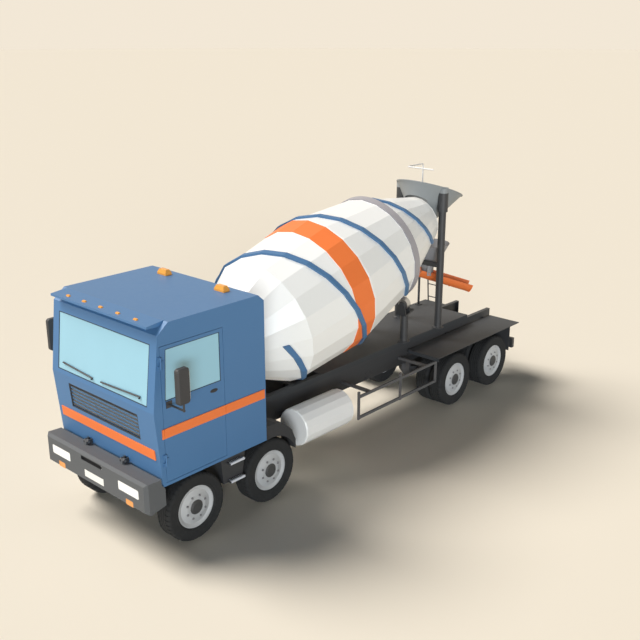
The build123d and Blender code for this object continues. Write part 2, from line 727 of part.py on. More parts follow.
# ================================================================ water pipe at the hopper
PIPE_RADIUS = 14
PIPE_ROUTE = (
    (HOPPER_X - 414, -475, HOPPER_Z - 174),
    (HOPPER_X - 414, -475, 4489),
    (HOPPER_X + 326, -310, 4530),
    (HOPPER_X + 326, 305, 4530),
)
with BuildPart() as water_pipe:
    with BuildLine() as route:
        FilletPolyline(*PIPE_ROUTE, radius=50)
    with BuildSketch(Plane(origin=PIPE_ROUTE[0], z_dir=(0, 0, 1))):
        Circle(PIPE_RADIUS)
    sweep()
    with BuildSketch(HOPPER_AXIS.offset(-SEAT)):
        Circle(HOPPER_RADIUS + 2 * HOPPER_LIP)
    extrude(amount=60, mode=Mode.SUBTRACT)
keep("water_pipe", water_pipe.part)

# ================================================================ cab shell
FACE_LEAN = (CREASE_X - FACE_FOOT) / (CREASE_Z - CAB_BOTTOM)
BROW_LEAN = (CREASE_X - BROW_X) / (BROW_Z - CREASE_Z)


def face_x(height):
    """Front face of the cab at a height."""
    if height <= CREASE_Z:
        return FACE_FOOT + FACE_LEAN * (height - CAB_BOTTOM)
    return CREASE_X - BROW_LEAN * (height - CREASE_Z)


CAB_OUTLINE = (
    (ROOF_FRONT, CAB_ROOF),
    (ROOF_REAR, CAB_ROOF),
    (CAB_REAR, BACK_BEVEL_Z),
    (CAB_REAR, CAB_BOTTOM),
    (FACE_FOOT, CAB_BOTTOM),
    (CREASE_X, CREASE_Z),
    (BROW_X, BROW_Z),
)
VISOR_OUTLINE = (
    (ROOF_FRONT - 20, CAB_ROOF - 20),
    (ROOF_FRONT - 20, CAB_ROOF),
    (ROOF_FRONT, CAB_ROOF + 3),
    (VISOR_REACH, CAB_ROOF - 25),
    (VISOR_REACH, CAB_ROOF - 58),
    (ROOF_FRONT + 70, CAB_ROOF - 66),
)
ARM_WIDTH = 20
ARM_DEPTH = 32
LUG_WIDTH = 40
BROW_PLANE = Plane(
    origin=(CREASE_X, 0, CREASE_Z),
    x_dir=(0, 1, 0),
    z_dir=(1, 0, BROW_LEAN),
)
BROW_SCALE = (1 + BROW_LEAN**2) ** 0.5
SCREEN_LOW = (SCREEN_BOTTOM - CREASE_Z) * BROW_SCALE
SCREEN_HIGH = (SCREEN_TOP - CREASE_Z) * BROW_SCALE
FACE_PLANE = Plane(
    origin=(CREASE_X, 0, CREASE_Z),
    x_dir=(0, 1, 0),
    z_dir=(1, 0, -FACE_LEAN),
)
FACE_SCALE = (1 + FACE_LEAN**2) ** 0.5


def face_y(height):
    """Distance along the sloping lower face below the crease."""
    return (height - CREASE_Z) * FACE_SCALE


with BuildPart() as cab_shell:
    with BuildSketch(Plane.XZ):
        with BuildLine():
            Polyline(*CAB_OUTLINE, close=True)
        make_face()
    extrude(amount=CAB_HALF, both=True)
    with BuildSketch(Plane.XZ):
        with BuildLine():
            Polyline(*CAB_OUTLINE, close=True)
        make_face()
        offset(amount=-CAB_WALL, kind=Kind.INTERSECTION, mode=Mode.REPLACE)
    extrude(amount=CAB_HALF - CAB_WALL, both=True, mode=Mode.SUBTRACT)
    with BuildSketch(Plane.XZ):
        with BuildLine():
            Polyline(*VISOR_OUTLINE, close=True)
        make_face()
    extrude(amount=VISOR_HALF, both=True)
    with BuildSketch(Plane.XZ):
        with BuildLine():
            Polyline(
                (DOOR_REAR, DOOR_BOTTOM),
                (DOOR_FRONT, DOOR_BOTTOM),
                (DOOR_FRONT, DOOR_TOP),
                (DOOR_REAR, DOOR_TOP),
                close=True,
            )
        make_face()
    extrude(amount=CAB_HALF + 10, both=True, mode=Mode.SUBTRACT)
    with BuildSketch(BROW_PLANE):
        with Locations((0, (SCREEN_LOW + SCREEN_HIGH) / 2)):
            Rectangle(2 * SCREEN_HALF, SCREEN_HIGH - SCREEN_LOW)
    extrude(amount=-CAB_WALL - 20, mode=Mode.SUBTRACT)
    with BuildSketch(FACE_PLANE):
        with Locations((0, (face_y(GRILLE_BOTTOM) + face_y(GRILLE_TOP)) / 2)):
            Rectangle(2 * GRILLE_HALF, face_y(GRILLE_TOP) - face_y(GRILLE_BOTTOM))
    extrude(amount=-CAB_WALL - 20, mode=Mode.SUBTRACT)
    for side in (1, -1):
        for offset_y in (-1, 1):
            centre = side * PIVOT_Y + offset_y * (LUG_WIDTH / 2 + 6 + ARM_WIDTH / 2)
            with BuildSketch(Plane.XZ.offset(-centre)):
                with BuildLine():
                    Polyline(
                        (PIVOT_X - 8, PIVOT_Z - ARM_DEPTH),
                        (PIVOT_X + ARM_DEPTH, PIVOT_Z - 16),
                        (PIVOT_X + ARM_DEPTH, PIVOT_Z + 12),
                        (PIVOT_X + 8, PIVOT_Z + ARM_DEPTH),
                        (face_x(PIVOT_Z) - 20, PIVOT_Z + ARM_DEPTH + 6),
                        (face_x(PIVOT_Z) - 20, PIVOT_Z - ARM_DEPTH),
                        close=True,
                    )
                make_face()
                with Locations((PIVOT_X, PIVOT_Z)):
                    Circle(PIVOT_PIN + RUNNING, mode=Mode.SUBTRACT)
            extrude(amount=ARM_WIDTH / 2, both=True)
        for level in HINGE_LEVELS:
            for base in (level, level + 2 * (HINGE_KNUCKLE + SEAT)):
                with BuildSketch(Plane.XY.offset(base)):
                    with Locations((DOOR_FRONT - DOOR_GAP / 2, side * (CAB_HALF + HINGE_OFFSET))):
                        Circle(HINGE_RADIUS)
                    with Locations(
                        (
                            DOOR_FRONT - DOOR_GAP / 2 + HINGE_LEAF / 2,
                            side * (CAB_HALF + HINGE_OFFSET / 2),
                        )
                    ):
                        Rectangle(HINGE_LEAF, HINGE_OFFSET)
                extrude(amount=HINGE_KNUCKLE)
            with BuildSketch(Plane.XY.offset(level)):
                with Locations((DOOR_FRONT - DOOR_GAP / 2, side * (CAB_HALF + HINGE_OFFSET))):
                    Circle(HINGE_PIN)
            extrude(amount=3 * HINGE_KNUCKLE + 2 * SEAT)
keep("cab_shell", cab_shell.part)

with BuildPart() as windscreen:
    with BuildSketch(BROW_PLANE.offset(-GLASS_RECESS)):
        with Locations((0, (SCREEN_LOW + SCREEN_HIGH) / 2)):
            Rectangle(
                2 * (SCREEN_HALF - SEAT),
                SCREEN_HIGH - SCREEN_LOW - 2 * SEAT,
            )
    extrude(amount=-GLASS)
keep("windscreen", windscreen.part)

GRILLE_FRAME = 14
GRILLE_DEPTH = 40
GRILLE_BACK = 8
GRILLE_PITCH = (face_y(GRILLE_TOP) - face_y(GRILLE_BOTTOM)) / (GRILLE_SLATS + 0.5)
with BuildPart() as grille:
    with BuildSketch(FACE_PLANE.offset(-2)):
        with Locations((0, (face_y(GRILLE_BOTTOM) + face_y(GRILLE_TOP)) / 2)):
            Rectangle(
                2 * (GRILLE_HALF - SEAT),
                face_y(GRILLE_TOP) - face_y(GRILLE_BOTTOM) - 2 * SEAT,
            )
            Rectangle(
                2 * (GRILLE_HALF - GRILLE_FRAME),
                face_y(GRILLE_TOP) - face_y(GRILLE_BOTTOM) - 2 * GRILLE_FRAME,
                mode=Mode.SUBTRACT,
            )
    extrude(amount=-GRILLE_DEPTH)
    with BuildSketch(FACE_PLANE.offset(-2 - GRILLE_DEPTH)):
        with Locations((0, (face_y(GRILLE_BOTTOM) + face_y(GRILLE_TOP)) / 2)):
            Rectangle(
                2 * (GRILLE_HALF - SEAT),
                face_y(GRILLE_TOP) - face_y(GRILLE_BOTTOM) - 2 * SEAT,
            )
    extrude(amount=GRILLE_BACK)
    for slat in range(GRILLE_SLATS):
        height = face_y(GRILLE_BOTTOM) + GRILLE_PITCH * (slat + 0.75)
        with BuildSketch(Plane(origin=FACE_PLANE.origin, x_dir=FACE_PLANE.z_dir,
                               z_dir=(0, -1, 0))):
            with BuildLine():
                Polyline(
                    (-GRILLE_DEPTH, height + GRILLE_SLAT),
                    (-8, height + 6),
                    (-8, height - 6),
                    (-GRILLE_DEPTH, height + GRILLE_SLAT - 12),
                    close=True,
                )
            make_face()
        extrude(amount=GRILLE_HALF - GRILLE_FRAME / 2, both=True)
keep("grille", grille.part)

# ================================================================ doors, their glass and mirrors
WINDOW = (
    (WINDOW_REAR, WINDOW_BOTTOM),
    (WINDOW_FRONT_LOW, WINDOW_BOTTOM),
    (WINDOW_FRONT_HIGH, WINDOW_TOP),
    (WINDOW_REAR, WINDOW_TOP),
)
MIRROR_X = AXLE_1 + 440
MIRROR_Y = CAB_HALF + 321
MIRROR_LENGTH = 200
MIRROR_THICK = 80
MIRROR_LOW = 2410
MIRROR_HIGH = 2920
MIRROR_ARM = 15
MIRROR_ARM_Z = 2312
MIRROR_BRACKET = 96

for label, side in (("left", 1), ("right", -1)):
    with BuildPart() as door:
        with BuildSketch(Plane.XZ.offset(-side * (CAB_HALF - CAB_WALL / 2))):
            with BuildLine():
                Polyline(
                    (DOOR_REAR + DOOR_GAP, DOOR_BOTTOM + DOOR_GAP),
                    (DOOR_FRONT - DOOR_GAP, DOOR_BOTTOM + DOOR_GAP),
                    (DOOR_FRONT - DOOR_GAP, DOOR_TOP - DOOR_GAP),
                    (DOOR_REAR + DOOR_GAP, DOOR_TOP - DOOR_GAP),
                    close=True,
                )
            make_face()
            with BuildLine():
                Polyline(*WINDOW, close=True)
            make_face(mode=Mode.SUBTRACT)
        extrude(amount=CAB_WALL / 2, both=True)
        with BuildSketch(Plane.XZ.offset(-side * (CAB_HALF + STRIPE / 2))):
            with Locations(
                (
                    (DOOR_FRONT + DOOR_REAR) / 2,
                    (STRIPE_SIDE_LOW + STRIPE_SIDE_HIGH) / 2,
                )
            ):
                Rectangle(
                    DOOR_FRONT - DOOR_REAR - 2 * DOOR_GAP,
                    STRIPE_SIDE_HIGH - STRIPE_SIDE_LOW,
                )
        extrude(amount=STRIPE / 2, both=True)
        for level in HINGE_LEVELS:
            with BuildSketch(Plane.XY.offset(level + HINGE_KNUCKLE + SEAT)):
                with Locations((DOOR_FRONT - DOOR_GAP / 2, side * (CAB_HALF + HINGE_OFFSET))):
                    Circle(HINGE_RADIUS)
                with Locations(
                    (
                        DOOR_FRONT - DOOR_GAP / 2 - HINGE_LEAF / 2,
                        side * (CAB_HALF + HINGE_OFFSET / 2),
                    )
                ):
                    Rectangle(HINGE_LEAF, HINGE_OFFSET)
                with Locations((DOOR_FRONT - DOOR_GAP / 2, side * (CAB_HALF + HINGE_OFFSET))):
                    Circle(HINGE_PIN + SEAT, mode=Mode.SUBTRACT)
            extrude(amount=HINGE_KNUCKLE)
    keep(f"door_{label}", door.part)

    with BuildPart() as door_glass:
        with BuildSketch(Plane.XZ.offset(-side * (CAB_HALF - GLASS_RECESS - GLASS / 2))):
            with BuildLine():
                Polyline(*WINDOW, close=True)
            make_face()
            offset(amount=-SEAT, kind=Kind.INTERSECTION, mode=Mode.REPLACE)
        extrude(amount=GLASS / 2, both=True)
    keep(f"door_glass_{label}", door_glass.part)

    with BuildPart() as mirror:
        with BuildSketch(Plane.XZ.offset(-side * (MIRROR_Y - MIRROR_THICK / 2))):
            with Locations((MIRROR_X, (MIRROR_LOW + MIRROR_HIGH) / 2)):
                RectangleRounded(MIRROR_LENGTH, MIRROR_HIGH - MIRROR_LOW, 45)
        extrude(amount=-side * MIRROR_THICK)
        outer = mirror.faces().sort_by(Axis.Y)[-1 if side > 0 else 0]
        chamfer(outer.edges(), length=18)
        with BuildSketch(Plane.XZ.offset(-side * (CAB_HALF + SEAT))):
            with Locations((MIRROR_X, MIRROR_ARM_Z)):
                Circle(MIRROR_ARM)
        extrude(amount=-side * (MIRROR_Y + MIRROR_ARM - CAB_HALF - SEAT))
        with BuildSketch(Plane.XY.offset(MIRROR_ARM_Z - MIRROR_ARM)):
            with Locations((MIRROR_X, side * MIRROR_Y)):
                Circle(MIRROR_ARM)
        extrude(amount=MIRROR_LOW - MIRROR_ARM_Z + 2 * MIRROR_ARM)
        with BuildSketch(Plane.XZ.offset(-side * (CAB_HALF + SEAT))):
            with Locations((MIRROR_X, MIRROR_ARM_Z)):
                Rectangle(MIRROR_BRACKET, MIRROR_BRACKET)
        extrude(amount=-side * 12)
    keep(f"mirror_{label}", mirror.part)

# ================================================================ stripes on the cab shell
with BuildPart() as cab_stripes:
    with BuildSketch(FACE_PLANE.offset(SEAT)):
        with Locations((0, (face_y(STRIPE_FRONT_LOW) + face_y(STRIPE_FRONT_HIGH)) / 2)):
            Rectangle(
                2 * STRIPE_FRONT_HALF,
                face_y(STRIPE_FRONT_HIGH) - face_y(STRIPE_FRONT_LOW),
            )
    extrude(amount=STRIPE)
    for side in (1, -1):
        for start, end in ((STRIPE_TAIL, DOOR_REAR), (DOOR_FRONT, STRIPE_NOSE)):
            with BuildSketch(Plane.XZ.offset(-side * (CAB_HALF + SEAT + STRIPE / 2))):
                with Locations(
                    ((start + end) / 2, (STRIPE_SIDE_LOW + STRIPE_SIDE_HIGH) / 2)
                ):
                    Rectangle(end - start, STRIPE_SIDE_HIGH - STRIPE_SIDE_LOW)
            extrude(amount=STRIPE / 2, both=True)
keep("cab_stripes", cab_stripes.part)

# ================================================================ lamps on the roof
VISOR_FALL = 28 / (VISOR_REACH - ROOF_FRONT)
VISOR_TOP = Plane(
    origin=(ROOF_FRONT, 0, CAB_ROOF + 3),
    x_dir=(0, 1, 0),
    z_dir=(VISOR_FALL, 0, 1),
)
BEACON_BASE = 30
with BuildPart() as roof_lamps:
    with BuildSketch(VISOR_TOP.offset(SEAT)):
        with GridLocations(LAMP_SPACING, 1, 5, 1):
            with Locations((0, -200)):
                RectangleRounded(78, 46, 14)
    extrude(amount=18, taper=22)
    with BuildSketch(Plane.XY.offset(CAB_ROOF + SEAT)):
        with Locations((BEACON_X, BEACON_Y), (BEACON_X, -BEACON_Y)):
            Rectangle(120, 210)
    extrude(amount=BEACON_BASE)
    with BuildSketch(Plane.XY.offset(CAB_ROOF + SEAT + BEACON_BASE)):
        with Locations((BEACON_X, BEACON_Y), (BEACON_X, -BEACON_Y)):
            Rectangle(120, 210)
    extrude(amount=55, taper=24)
keep("roof_lamps", roof_lamps.part)

# ================================================================ cab interior
SEAT_X = AXLE_1 - 330
SEAT_Y = CAB_HALF - 669
FLOOR_Z = CAB_BOTTOM + CAB_WALL + SEAT
DASH_LOW = 1840
DASH_HIGH = 2190
DASH_DEEP = 300
WHEEL_X = AXLE_1 + 205
WHEEL_Z = 2180
with BuildPart() as cab_interior:
    for side in (1, -1):
        with BuildSketch(Plane.XZ.offset(-side * SEAT_Y)):
            with BuildLine():
                Polyline(
                    (SEAT_X - 150, FLOOR_Z),
                    (SEAT_X + 170, FLOOR_Z),
                    (SEAT_X + 150, FLOOR_Z + 300),
                    (SEAT_X + 270, FLOOR_Z + 330),
                    (SEAT_X + 280, FLOOR_Z + 430),
                    (SEAT_X - 130, FLOOR_Z + 400),
                    (SEAT_X - 250, FLOOR_Z + 1080),
                    (SEAT_X - 350, FLOOR_Z + 1060),
                    (SEAT_X - 260, FLOOR_Z + 300),
                    (SEAT_X - 150, FLOOR_Z + 300),
                    close=True,
                )
            make_face()
        extrude(amount=245, both=True)
    with BuildSketch(Plane.XZ):
        with BuildLine():
            Polyline(
                (face_x(DASH_LOW) - CAB_WALL - 1, DASH_LOW),
                (face_x(DASH_HIGH) - CAB_WALL - 1, DASH_HIGH),
                (face_x(DASH_HIGH) - CAB_WALL - DASH_DEEP, DASH_HIGH),
                (face_x(DASH_LOW) - CAB_WALL - DASH_DEEP - 60, DASH_HIGH - 120),
                (face_x(DASH_LOW) - CAB_WALL - DASH_DEEP + 60, DASH_LOW),
                close=True,
            )
        make_face()
    extrude(amount=CAB_HALF - CAB_WALL - 5, both=True)
    wheel_plane = Plane(
        origin=(WHEEL_X, SEAT_Y, WHEEL_Z),
        x_dir=(0, 1, 0),
        z_dir=(-sin(radians(28)), 0, cos(radians(28))),
    )
    with BuildSketch(wheel_plane.offset(-14)):
        Circle(225)
        Circle(197, mode=Mode.SUBTRACT)
        Rectangle(410, 40)
        Circle(50)
    extrude(amount=28)
    with BuildSketch(wheel_plane):
        Circle(22)
    extrude(amount=-230)
keep("cab_interior", cab_interior.part)

# ================================================================ bumper with the cab's pivots
BUMPER_MARGIN = 11
BUMPER_HALF = CAB_HALF + BUMPER_MARGIN
BUMPER_END = 60
BUMPER_LOW = 780
BUMPER_HIGH = 1265
BUMPER_BEVEL = 40
BUMPER_BACK = AXLE_1 + 650
BUMPER_END_BACK = AXLE_1 + 590
BUMPER_TOP_WALL = 30
LAMP_DEPTH = 14
HEADLAMP = (BUMPER_HALF - 405, 1060, 470, 140)
INDICATOR = (BUMPER_HALF - 395, 860, 170, 90)
PLATE_Z = 945
PLATE_WIDTH = 480
PLATE_HEIGHT = 120
PLATE_RECESS = 5
SLOT_Y = -40
SLOT_Z = 1174
SLOT_WIDTH = 520
SLOT_HEIGHT = 66
SLOT_DEPTH = 34
TOW_PIN = 11
TOW_PIN_Y = 205
with BuildPart() as bumper:
    with BuildSketch(Plane.XZ):
        with BuildLine():
            Polyline(
                (BUMPER_BACK, BUMPER_LOW + 200),
                (FRONT_X - 70, BUMPER_LOW),
                (FRONT_X, BUMPER_LOW + 50),
                (FRONT_X, BUMPER_HIGH - BUMPER_BEVEL),
                (FRONT_X - BUMPER_BEVEL, BUMPER_HIGH),
                (BUMPER_BACK, BUMPER_HIGH - 12),
                close=True,
            )
        make_face()
    extrude(amount=BUMPER_HALF, both=True)
    with BuildSketch(Plane.XZ):
        with BuildLine():
            Polyline(
                (BUMPER_BACK - 10, BUMPER_LOW - 10),
                (FRONT_X - BUMPER_WALL, BUMPER_LOW - 10),
                (FRONT_X - BUMPER_WALL, BUMPER_HIGH - BUMPER_TOP_WALL),
                (BUMPER_BACK - 10, BUMPER_HIGH - BUMPER_TOP_WALL - 12),
                close=True,
            )
        make_face()
    extrude(amount=BUMPER_HALF - BUMPER_END, both=True, mode=Mode.SUBTRACT)
    for side in (1, -1):
        with BuildSketch(Plane.XZ.offset(-side * (BUMPER_HALF - BUMPER_END / 2))):
            with BuildLine():
                Polyline(
                    (BUMPER_END_BACK, BUMPER_LOW + 60),
                    (FRONT_X - 70, BUMPER_LOW),
                    (FRONT_X - 70, BUMPER_HIGH - BUMPER_BEVEL),
                    (BUMPER_BACK, BUMPER_HIGH - 90),
                    (BUMPER_END_BACK, BUMPER_HIGH - 170),
                    close=True,
                )
            make_face()
        extrude(amount=BUMPER_END / 2, both=True)
        with BuildSketch(Plane.YZ.offset(FRONT_X)):
            with Locations((side * HEADLAMP[0], HEADLAMP[1])):
                RectangleRounded(HEADLAMP[2], HEADLAMP[3], 22)
            with Locations((side * INDICATOR[0], INDICATOR[1])):
                RectangleRounded(INDICATOR[2], INDICATOR[3], 16)
        extrude(amount=-LAMP_DEPTH, mode=Mode.SUBTRACT)
        with BuildSketch(Plane.XZ.offset(-side * PIVOT_Y)):
            with BuildLine():
                Polyline(
                    (PIVOT_X - 34, BUMPER_HIGH - BUMPER_TOP_WALL),
                    (PIVOT_X + 42, BUMPER_HIGH - BUMPER_TOP_WALL),
                    (PIVOT_X + 26, PIVOT_Z + 26),
                    (PIVOT_X - 26, PIVOT_Z + 26),
                    close=True,
                )
            make_face()
        extrude(amount=LUG_WIDTH / 2, both=True)
        with BuildSketch(Plane.XZ.offset(-side * PIVOT_Y)):
            with Locations((PIVOT_X, PIVOT_Z)):
                Circle(PIVOT_PIN)
        extrude(amount=LUG_WIDTH / 2 + 6 + ARM_WIDTH + 4, both=True)
    ends = bumper.edges().filter_by(Axis.Z).filter_by_position(
        Axis.X, FRONT_X - 1, FRONT_X + 1
    ).group_by(Axis.Y)
    chamfer(ends[0] + ends[-1], length=50)
    with BuildSketch(Plane.YZ.offset(FRONT_X)):
        with Locations((0, PLATE_Z)):
            RectangleRounded(PLATE_WIDTH, PLATE_HEIGHT, 6)
    extrude(amount=-PLATE_RECESS, mode=Mode.SUBTRACT)
    with BuildSketch(Plane.YZ.offset(FRONT_X)):
        with Locations((SLOT_Y, SLOT_Z)):
            RectangleRounded(SLOT_WIDTH, SLOT_HEIGHT, 16)
    extrude(amount=-SLOT_DEPTH, mode=Mode.SUBTRACT)
    with Locations((FRONT_X - SLOT_DEPTH / 2, TOW_PIN_Y, SLOT_Z)):
        Cylinder(TOW_PIN, SLOT_HEIGHT + 2 * TOW_PIN)
keep("bumper", bumper.part)

with BuildPart() as front_lamps:
    with BuildSketch(Plane.YZ.offset(FRONT_X - LAMP_DEPTH + SEAT)):
        for side in (1, -1):
            with Locations((side * HEADLAMP[0], HEADLAMP[1])):
                RectangleRounded(HEADLAMP[2] - 2 * SEAT, HEADLAMP[3] - 2 * SEAT, 22)
            with Locations((side * INDICATOR[0], INDICATOR[1])):
                RectangleRounded(INDICATOR[2] - 2 * SEAT, INDICATOR[3] - 2 * SEAT, 16)
    extrude(amount=LAMP_DEPTH - SEAT - 1)
keep("front_lamps", front_lamps.part)

# ================================================================ rear fenders and mudguards
FENDER_TOP = 1165
FENDER_PLATE = 15
FENDER_INNER = RAIL_OUTER + 60
FENDER_OUTER = TRACK_HALF + 185
FENDER_FRONT = AXLE_1 - 5920
FENDER_REAR = AXLE_1 - 8850
FENDER_DROP = 70
with BuildPart() as rear_fenders:
    for side in (1, -1):
        middle = side * (FENDER_INNER + FENDER_OUTER) / 2
        with BuildSketch(Plane.XZ.offset(-middle)):
            with BuildLine():
                Polyline(
                    (FENDER_REAR, FENDER_TOP),
                    (FENDER_FRONT, FENDER_TOP),
                    (FENDER_FRONT, FENDER_TOP - FENDER_DROP),
                    (FENDER_FRONT - FENDER_PLATE, FENDER_TOP - FENDER_DROP),
                    (FENDER_FRONT - FENDER_PLATE, FENDER_TOP - FENDER_PLATE),
                    (FENDER_REAR, FENDER_TOP - FENDER_PLATE),
                    close=True,
                )
            make_face()
        extrude(amount=(FENDER_OUTER - FENDER_INNER) / 2, both=True)
        for station in (AXLE_3 + 560, (AXLE_3 + AXLE_4) / 2, AXLE_4 - 700):
            with Locations(
                (
                    station,
                    side * (RAIL_OUTER + SEAT + FENDER_INNER + 60) / 2,
                    FENDER_TOP - FENDER_PLATE - 25,
                )
            ):
                Box(60, FENDER_INNER + 60 - RAIL_OUTER - SEAT, 50)
keep("rear_fenders", rear_fenders.part)

ARCH_RADIUS = 545
ARCH_Z = 780
ARCH_SHEET = 12
ARCH_INNER = TRACK_HALF - 155
ARCH_OUTER = TRACK_HALF + 165
ARCH_CLEAR = 50
ARCH_FRONT = CAB_REAR - 30
ARCH_LOW = 740
ARCH_BRACKET = RAIL_STEP_FRONT - RAIL_STEP_LENGTH - 30
FLAP_X = AXLE_1 - 8560
FLAP_INNER = TRACK_HALF - 415
FLAP_OUTER = TRACK_HALF + 145
FLAP_LOW = 600
with BuildPart() as mudguards:
    for side in (1, -1):
        middle = side * (ARCH_INNER + ARCH_OUTER) / 2
        with BuildSketch(Plane.XZ.offset(-middle)):
            with Locations((AXLE_2, ARCH_Z)):
                RegularPolygon(ARCH_RADIUS, 16, rotation=180 / 16)
                RegularPolygon(ARCH_RADIUS - ARCH_SHEET, 16, rotation=180 / 16, mode=Mode.SUBTRACT)
            with Locations((ARCH_FRONT, ARCH_LOW)):
                Rectangle(2000, 3000, align=(Align.MIN, Align.CENTER), mode=Mode.SUBTRACT)
                Rectangle(2000, 2000, align=(Align.CENTER, Align.MAX), mode=Mode.SUBTRACT)
        extrude(amount=(ARCH_OUTER - ARCH_INNER) / 2, both=True)
        with BuildSketch(Plane.XZ.offset(-side * ARCH_OUTER)):
            with Locations((AXLE_2, ARCH_Z)):
                RegularPolygon(ARCH_RADIUS, 16, rotation=180 / 16)
            with Locations((AXLE_2, TYRE_RADIUS)):
                Circle(TYRE_RADIUS + ARCH_CLEAR, mode=Mode.SUBTRACT)
            with Locations((ARCH_FRONT, ARCH_LOW)):
                Rectangle(2000, 3000, align=(Align.MIN, Align.CENTER), mode=Mode.SUBTRACT)
                Rectangle(2000, 2000, align=(Align.CENTER, Align.MAX), mode=Mode.SUBTRACT)
        extrude(amount=side * ARCH_SHEET)
        with Locations(
            (
                ARCH_BRACKET,
                side * (RAIL_OUTER + SEAT + ARCH_INNER + 60) / 2,
                RAIL_TOP - 35,
            )
        ):
            Box(50, ARCH_INNER + 60 - RAIL_OUTER - SEAT, 50)
        with BuildSketch(Plane.XY.offset(RAIL_TOP - 60)):
            with Locations((ARCH_BRACKET, side * (ARCH_INNER + 30))):
                Rectangle(50, 60)
        extrude(amount=ARCH_Z + ARCH_RADIUS * cos(radians(180 / 16)) - RAIL_TOP + 60 - 4)
        with Locations(
            (
                FLAP_X,
                side * (FLAP_INNER + FLAP_OUTER) / 2,
                (FLAP_LOW + FENDER_TOP - FENDER_PLATE - SEAT) / 2,
            )
        ):
            Box(10, FLAP_OUTER - FLAP_INNER, FENDER_TOP - FENDER_PLATE - SEAT - FLAP_LOW)
keep("mudguards", mudguards.part)

# ================================================================ rear bar with lamps
BAR_X = REAR_X + 75
BAR_LOW = 590
BAR_HEIGHT = 110
BAR_HALF = 990
REAR_LAMP = 120
with BuildPart() as rear_bar:
    with Locations((BAR_X, 0, BAR_LOW + BAR_HEIGHT / 2)):
        Box(60, 2 * BAR_HALF, BAR_HEIGHT)
    for side in (1, -1):
        with Locations((BAR_X, side * (RAIL_OUTER - 40), (BAR_LOW + RAIL_BOTTOM - SEAT) / 2)):
            Box(60, 60, RAIL_BOTTOM - SEAT - BAR_LOW)
        with Locations((BAR_X, side * (BAR_HALF + REAR_LAMP / 2), BAR_LOW + 85)):
            Box(80, REAR_LAMP, 210)
keep("rear_bar", rear_bar.part)

# ================================================================ side guards
GUARD_Y = 1100
GUARD_WIDTH = 30
GUARD_RAIL = 50
GUARD_UPPER = 1045
GUARD_LOWER = 655
GUARD_FRONT = AXLE_1 - 3700
GUARD_REAR = AXLE_1 - 6020
GUARD_POSTS = (
    (AXLE_1 - 3720, 620, 1140),
    (AXLE_1 - 4900, 620, 1150),
    (AXLE_1 - 6000, 630, 1100),
)
GUARD_ARMS = (AXLE_1 - 4040, AXLE_1 - 5700)
with BuildPart() as side_guards:
    for side in (1, -1):
        for height in (GUARD_UPPER, GUARD_LOWER):
            with Locations(((GUARD_FRONT + GUARD_REAR) / 2, side * GUARD_Y, height)):
                Box(GUARD_FRONT - GUARD_REAR, GUARD_WIDTH, GUARD_RAIL)
        for station, low, high in GUARD_POSTS:
            with Locations((station, side * GUARD_Y, (low + high) / 2)):
                Box(45, GUARD_WIDTH, high - low)
        for station in GUARD_ARMS:
            with Locations((station, side * (RAIL_OUTER + SEAT + GUARD_Y) / 2, GUARD_UPPER)):
                Box(50, GUARD_Y - RAIL_OUTER - SEAT, GUARD_RAIL)
keep("side_guards", side_guards.part)

# ================================================================ steps
STEP_INNER = 620
STEP_OUTER = 1130
STEP_LOW = 650
STEP_TOP = 1100
TREAD_OUTER = 1215
TREAD_FRONT = AXLE_1 - 630
TREAD_REAR = AXLE_1 - 930
TREAD_LEVELS = (680, 978)
TREAD_THICK = 26
STEP_SHEET = 12
STEP_ARM = 80
STEP_ARM_Z = 985
STEP_OUTLINE = (
    (AXLE_1 - 565, STEP_LOW),
    (AXLE_1 - 515, STEP_TOP),
    (AXLE_1 - 1010, STEP_TOP),
    (AXLE_1 - 940, STEP_LOW),
)
with BuildPart() as steps:
    for side in (1, -1):
        with BuildSketch(Plane.XZ.offset(-side * (STEP_INNER + STEP_OUTER) / 2)):
            with BuildLine():
                Polyline(*STEP_OUTLINE, close=True)
            make_face()
        extrude(amount=(STEP_OUTER - STEP_INNER) / 2, both=True)
        with BuildSketch(Plane.XZ.offset(-side * (STEP_INNER + STEP_OUTER - 2 * STEP_SHEET) / 2)):
            with BuildLine():
                Polyline(*STEP_OUTLINE, close=True)
            make_face()
            offset(amount=-STEP_SHEET, kind=Kind.INTERSECTION, mode=Mode.REPLACE)
        extrude(amount=(STEP_OUTER - STEP_INNER) / 2, both=True, mode=Mode.SUBTRACT)
        for level in TREAD_LEVELS:
            with Locations(
                (
                    (TREAD_FRONT + TREAD_REAR) / 2,
                    side * (STEP_OUTER - STEP_SHEET + TREAD_OUTER) / 2,
                    level,
                )
            ):
                Box(TREAD_FRONT - TREAD_REAR, TREAD_OUTER - STEP_OUTER + STEP_SHEET, TREAD_THICK)
        with Locations(
            (
                (TREAD_FRONT + TREAD_REAR) / 2,
                side * (RAIL_OUTER + SEAT + STEP_OUTER - STEP_SHEET) / 2,
                STEP_ARM_Z,
            )
        ):
            Box(STEP_ARM, STEP_OUTER - STEP_SHEET - RAIL_OUTER - SEAT, STEP_ARM)
keep("steps", steps.part)

# ================================================================ ladder and control stand
LADDER_X = AXLE_1 - 8866
LADDER_LEAN = 0.085
LADDER_RAIL = 15
LADDER_LOW = 600
LADDER_HIGH = 2450
LADDER_RAILS = (-1150, -780)
LADDER_RUNGS = 6
STAND_X = AXLE_1 - 8420
STAND_Y = -1100
STAND_RADIUS = 25
STAND_TOP = 2080


def ladder_x(height):
    """Middle of the leaning rails at a height."""
    return LADDER_X + (height - FENDER_TOP) * LADDER_LEAN


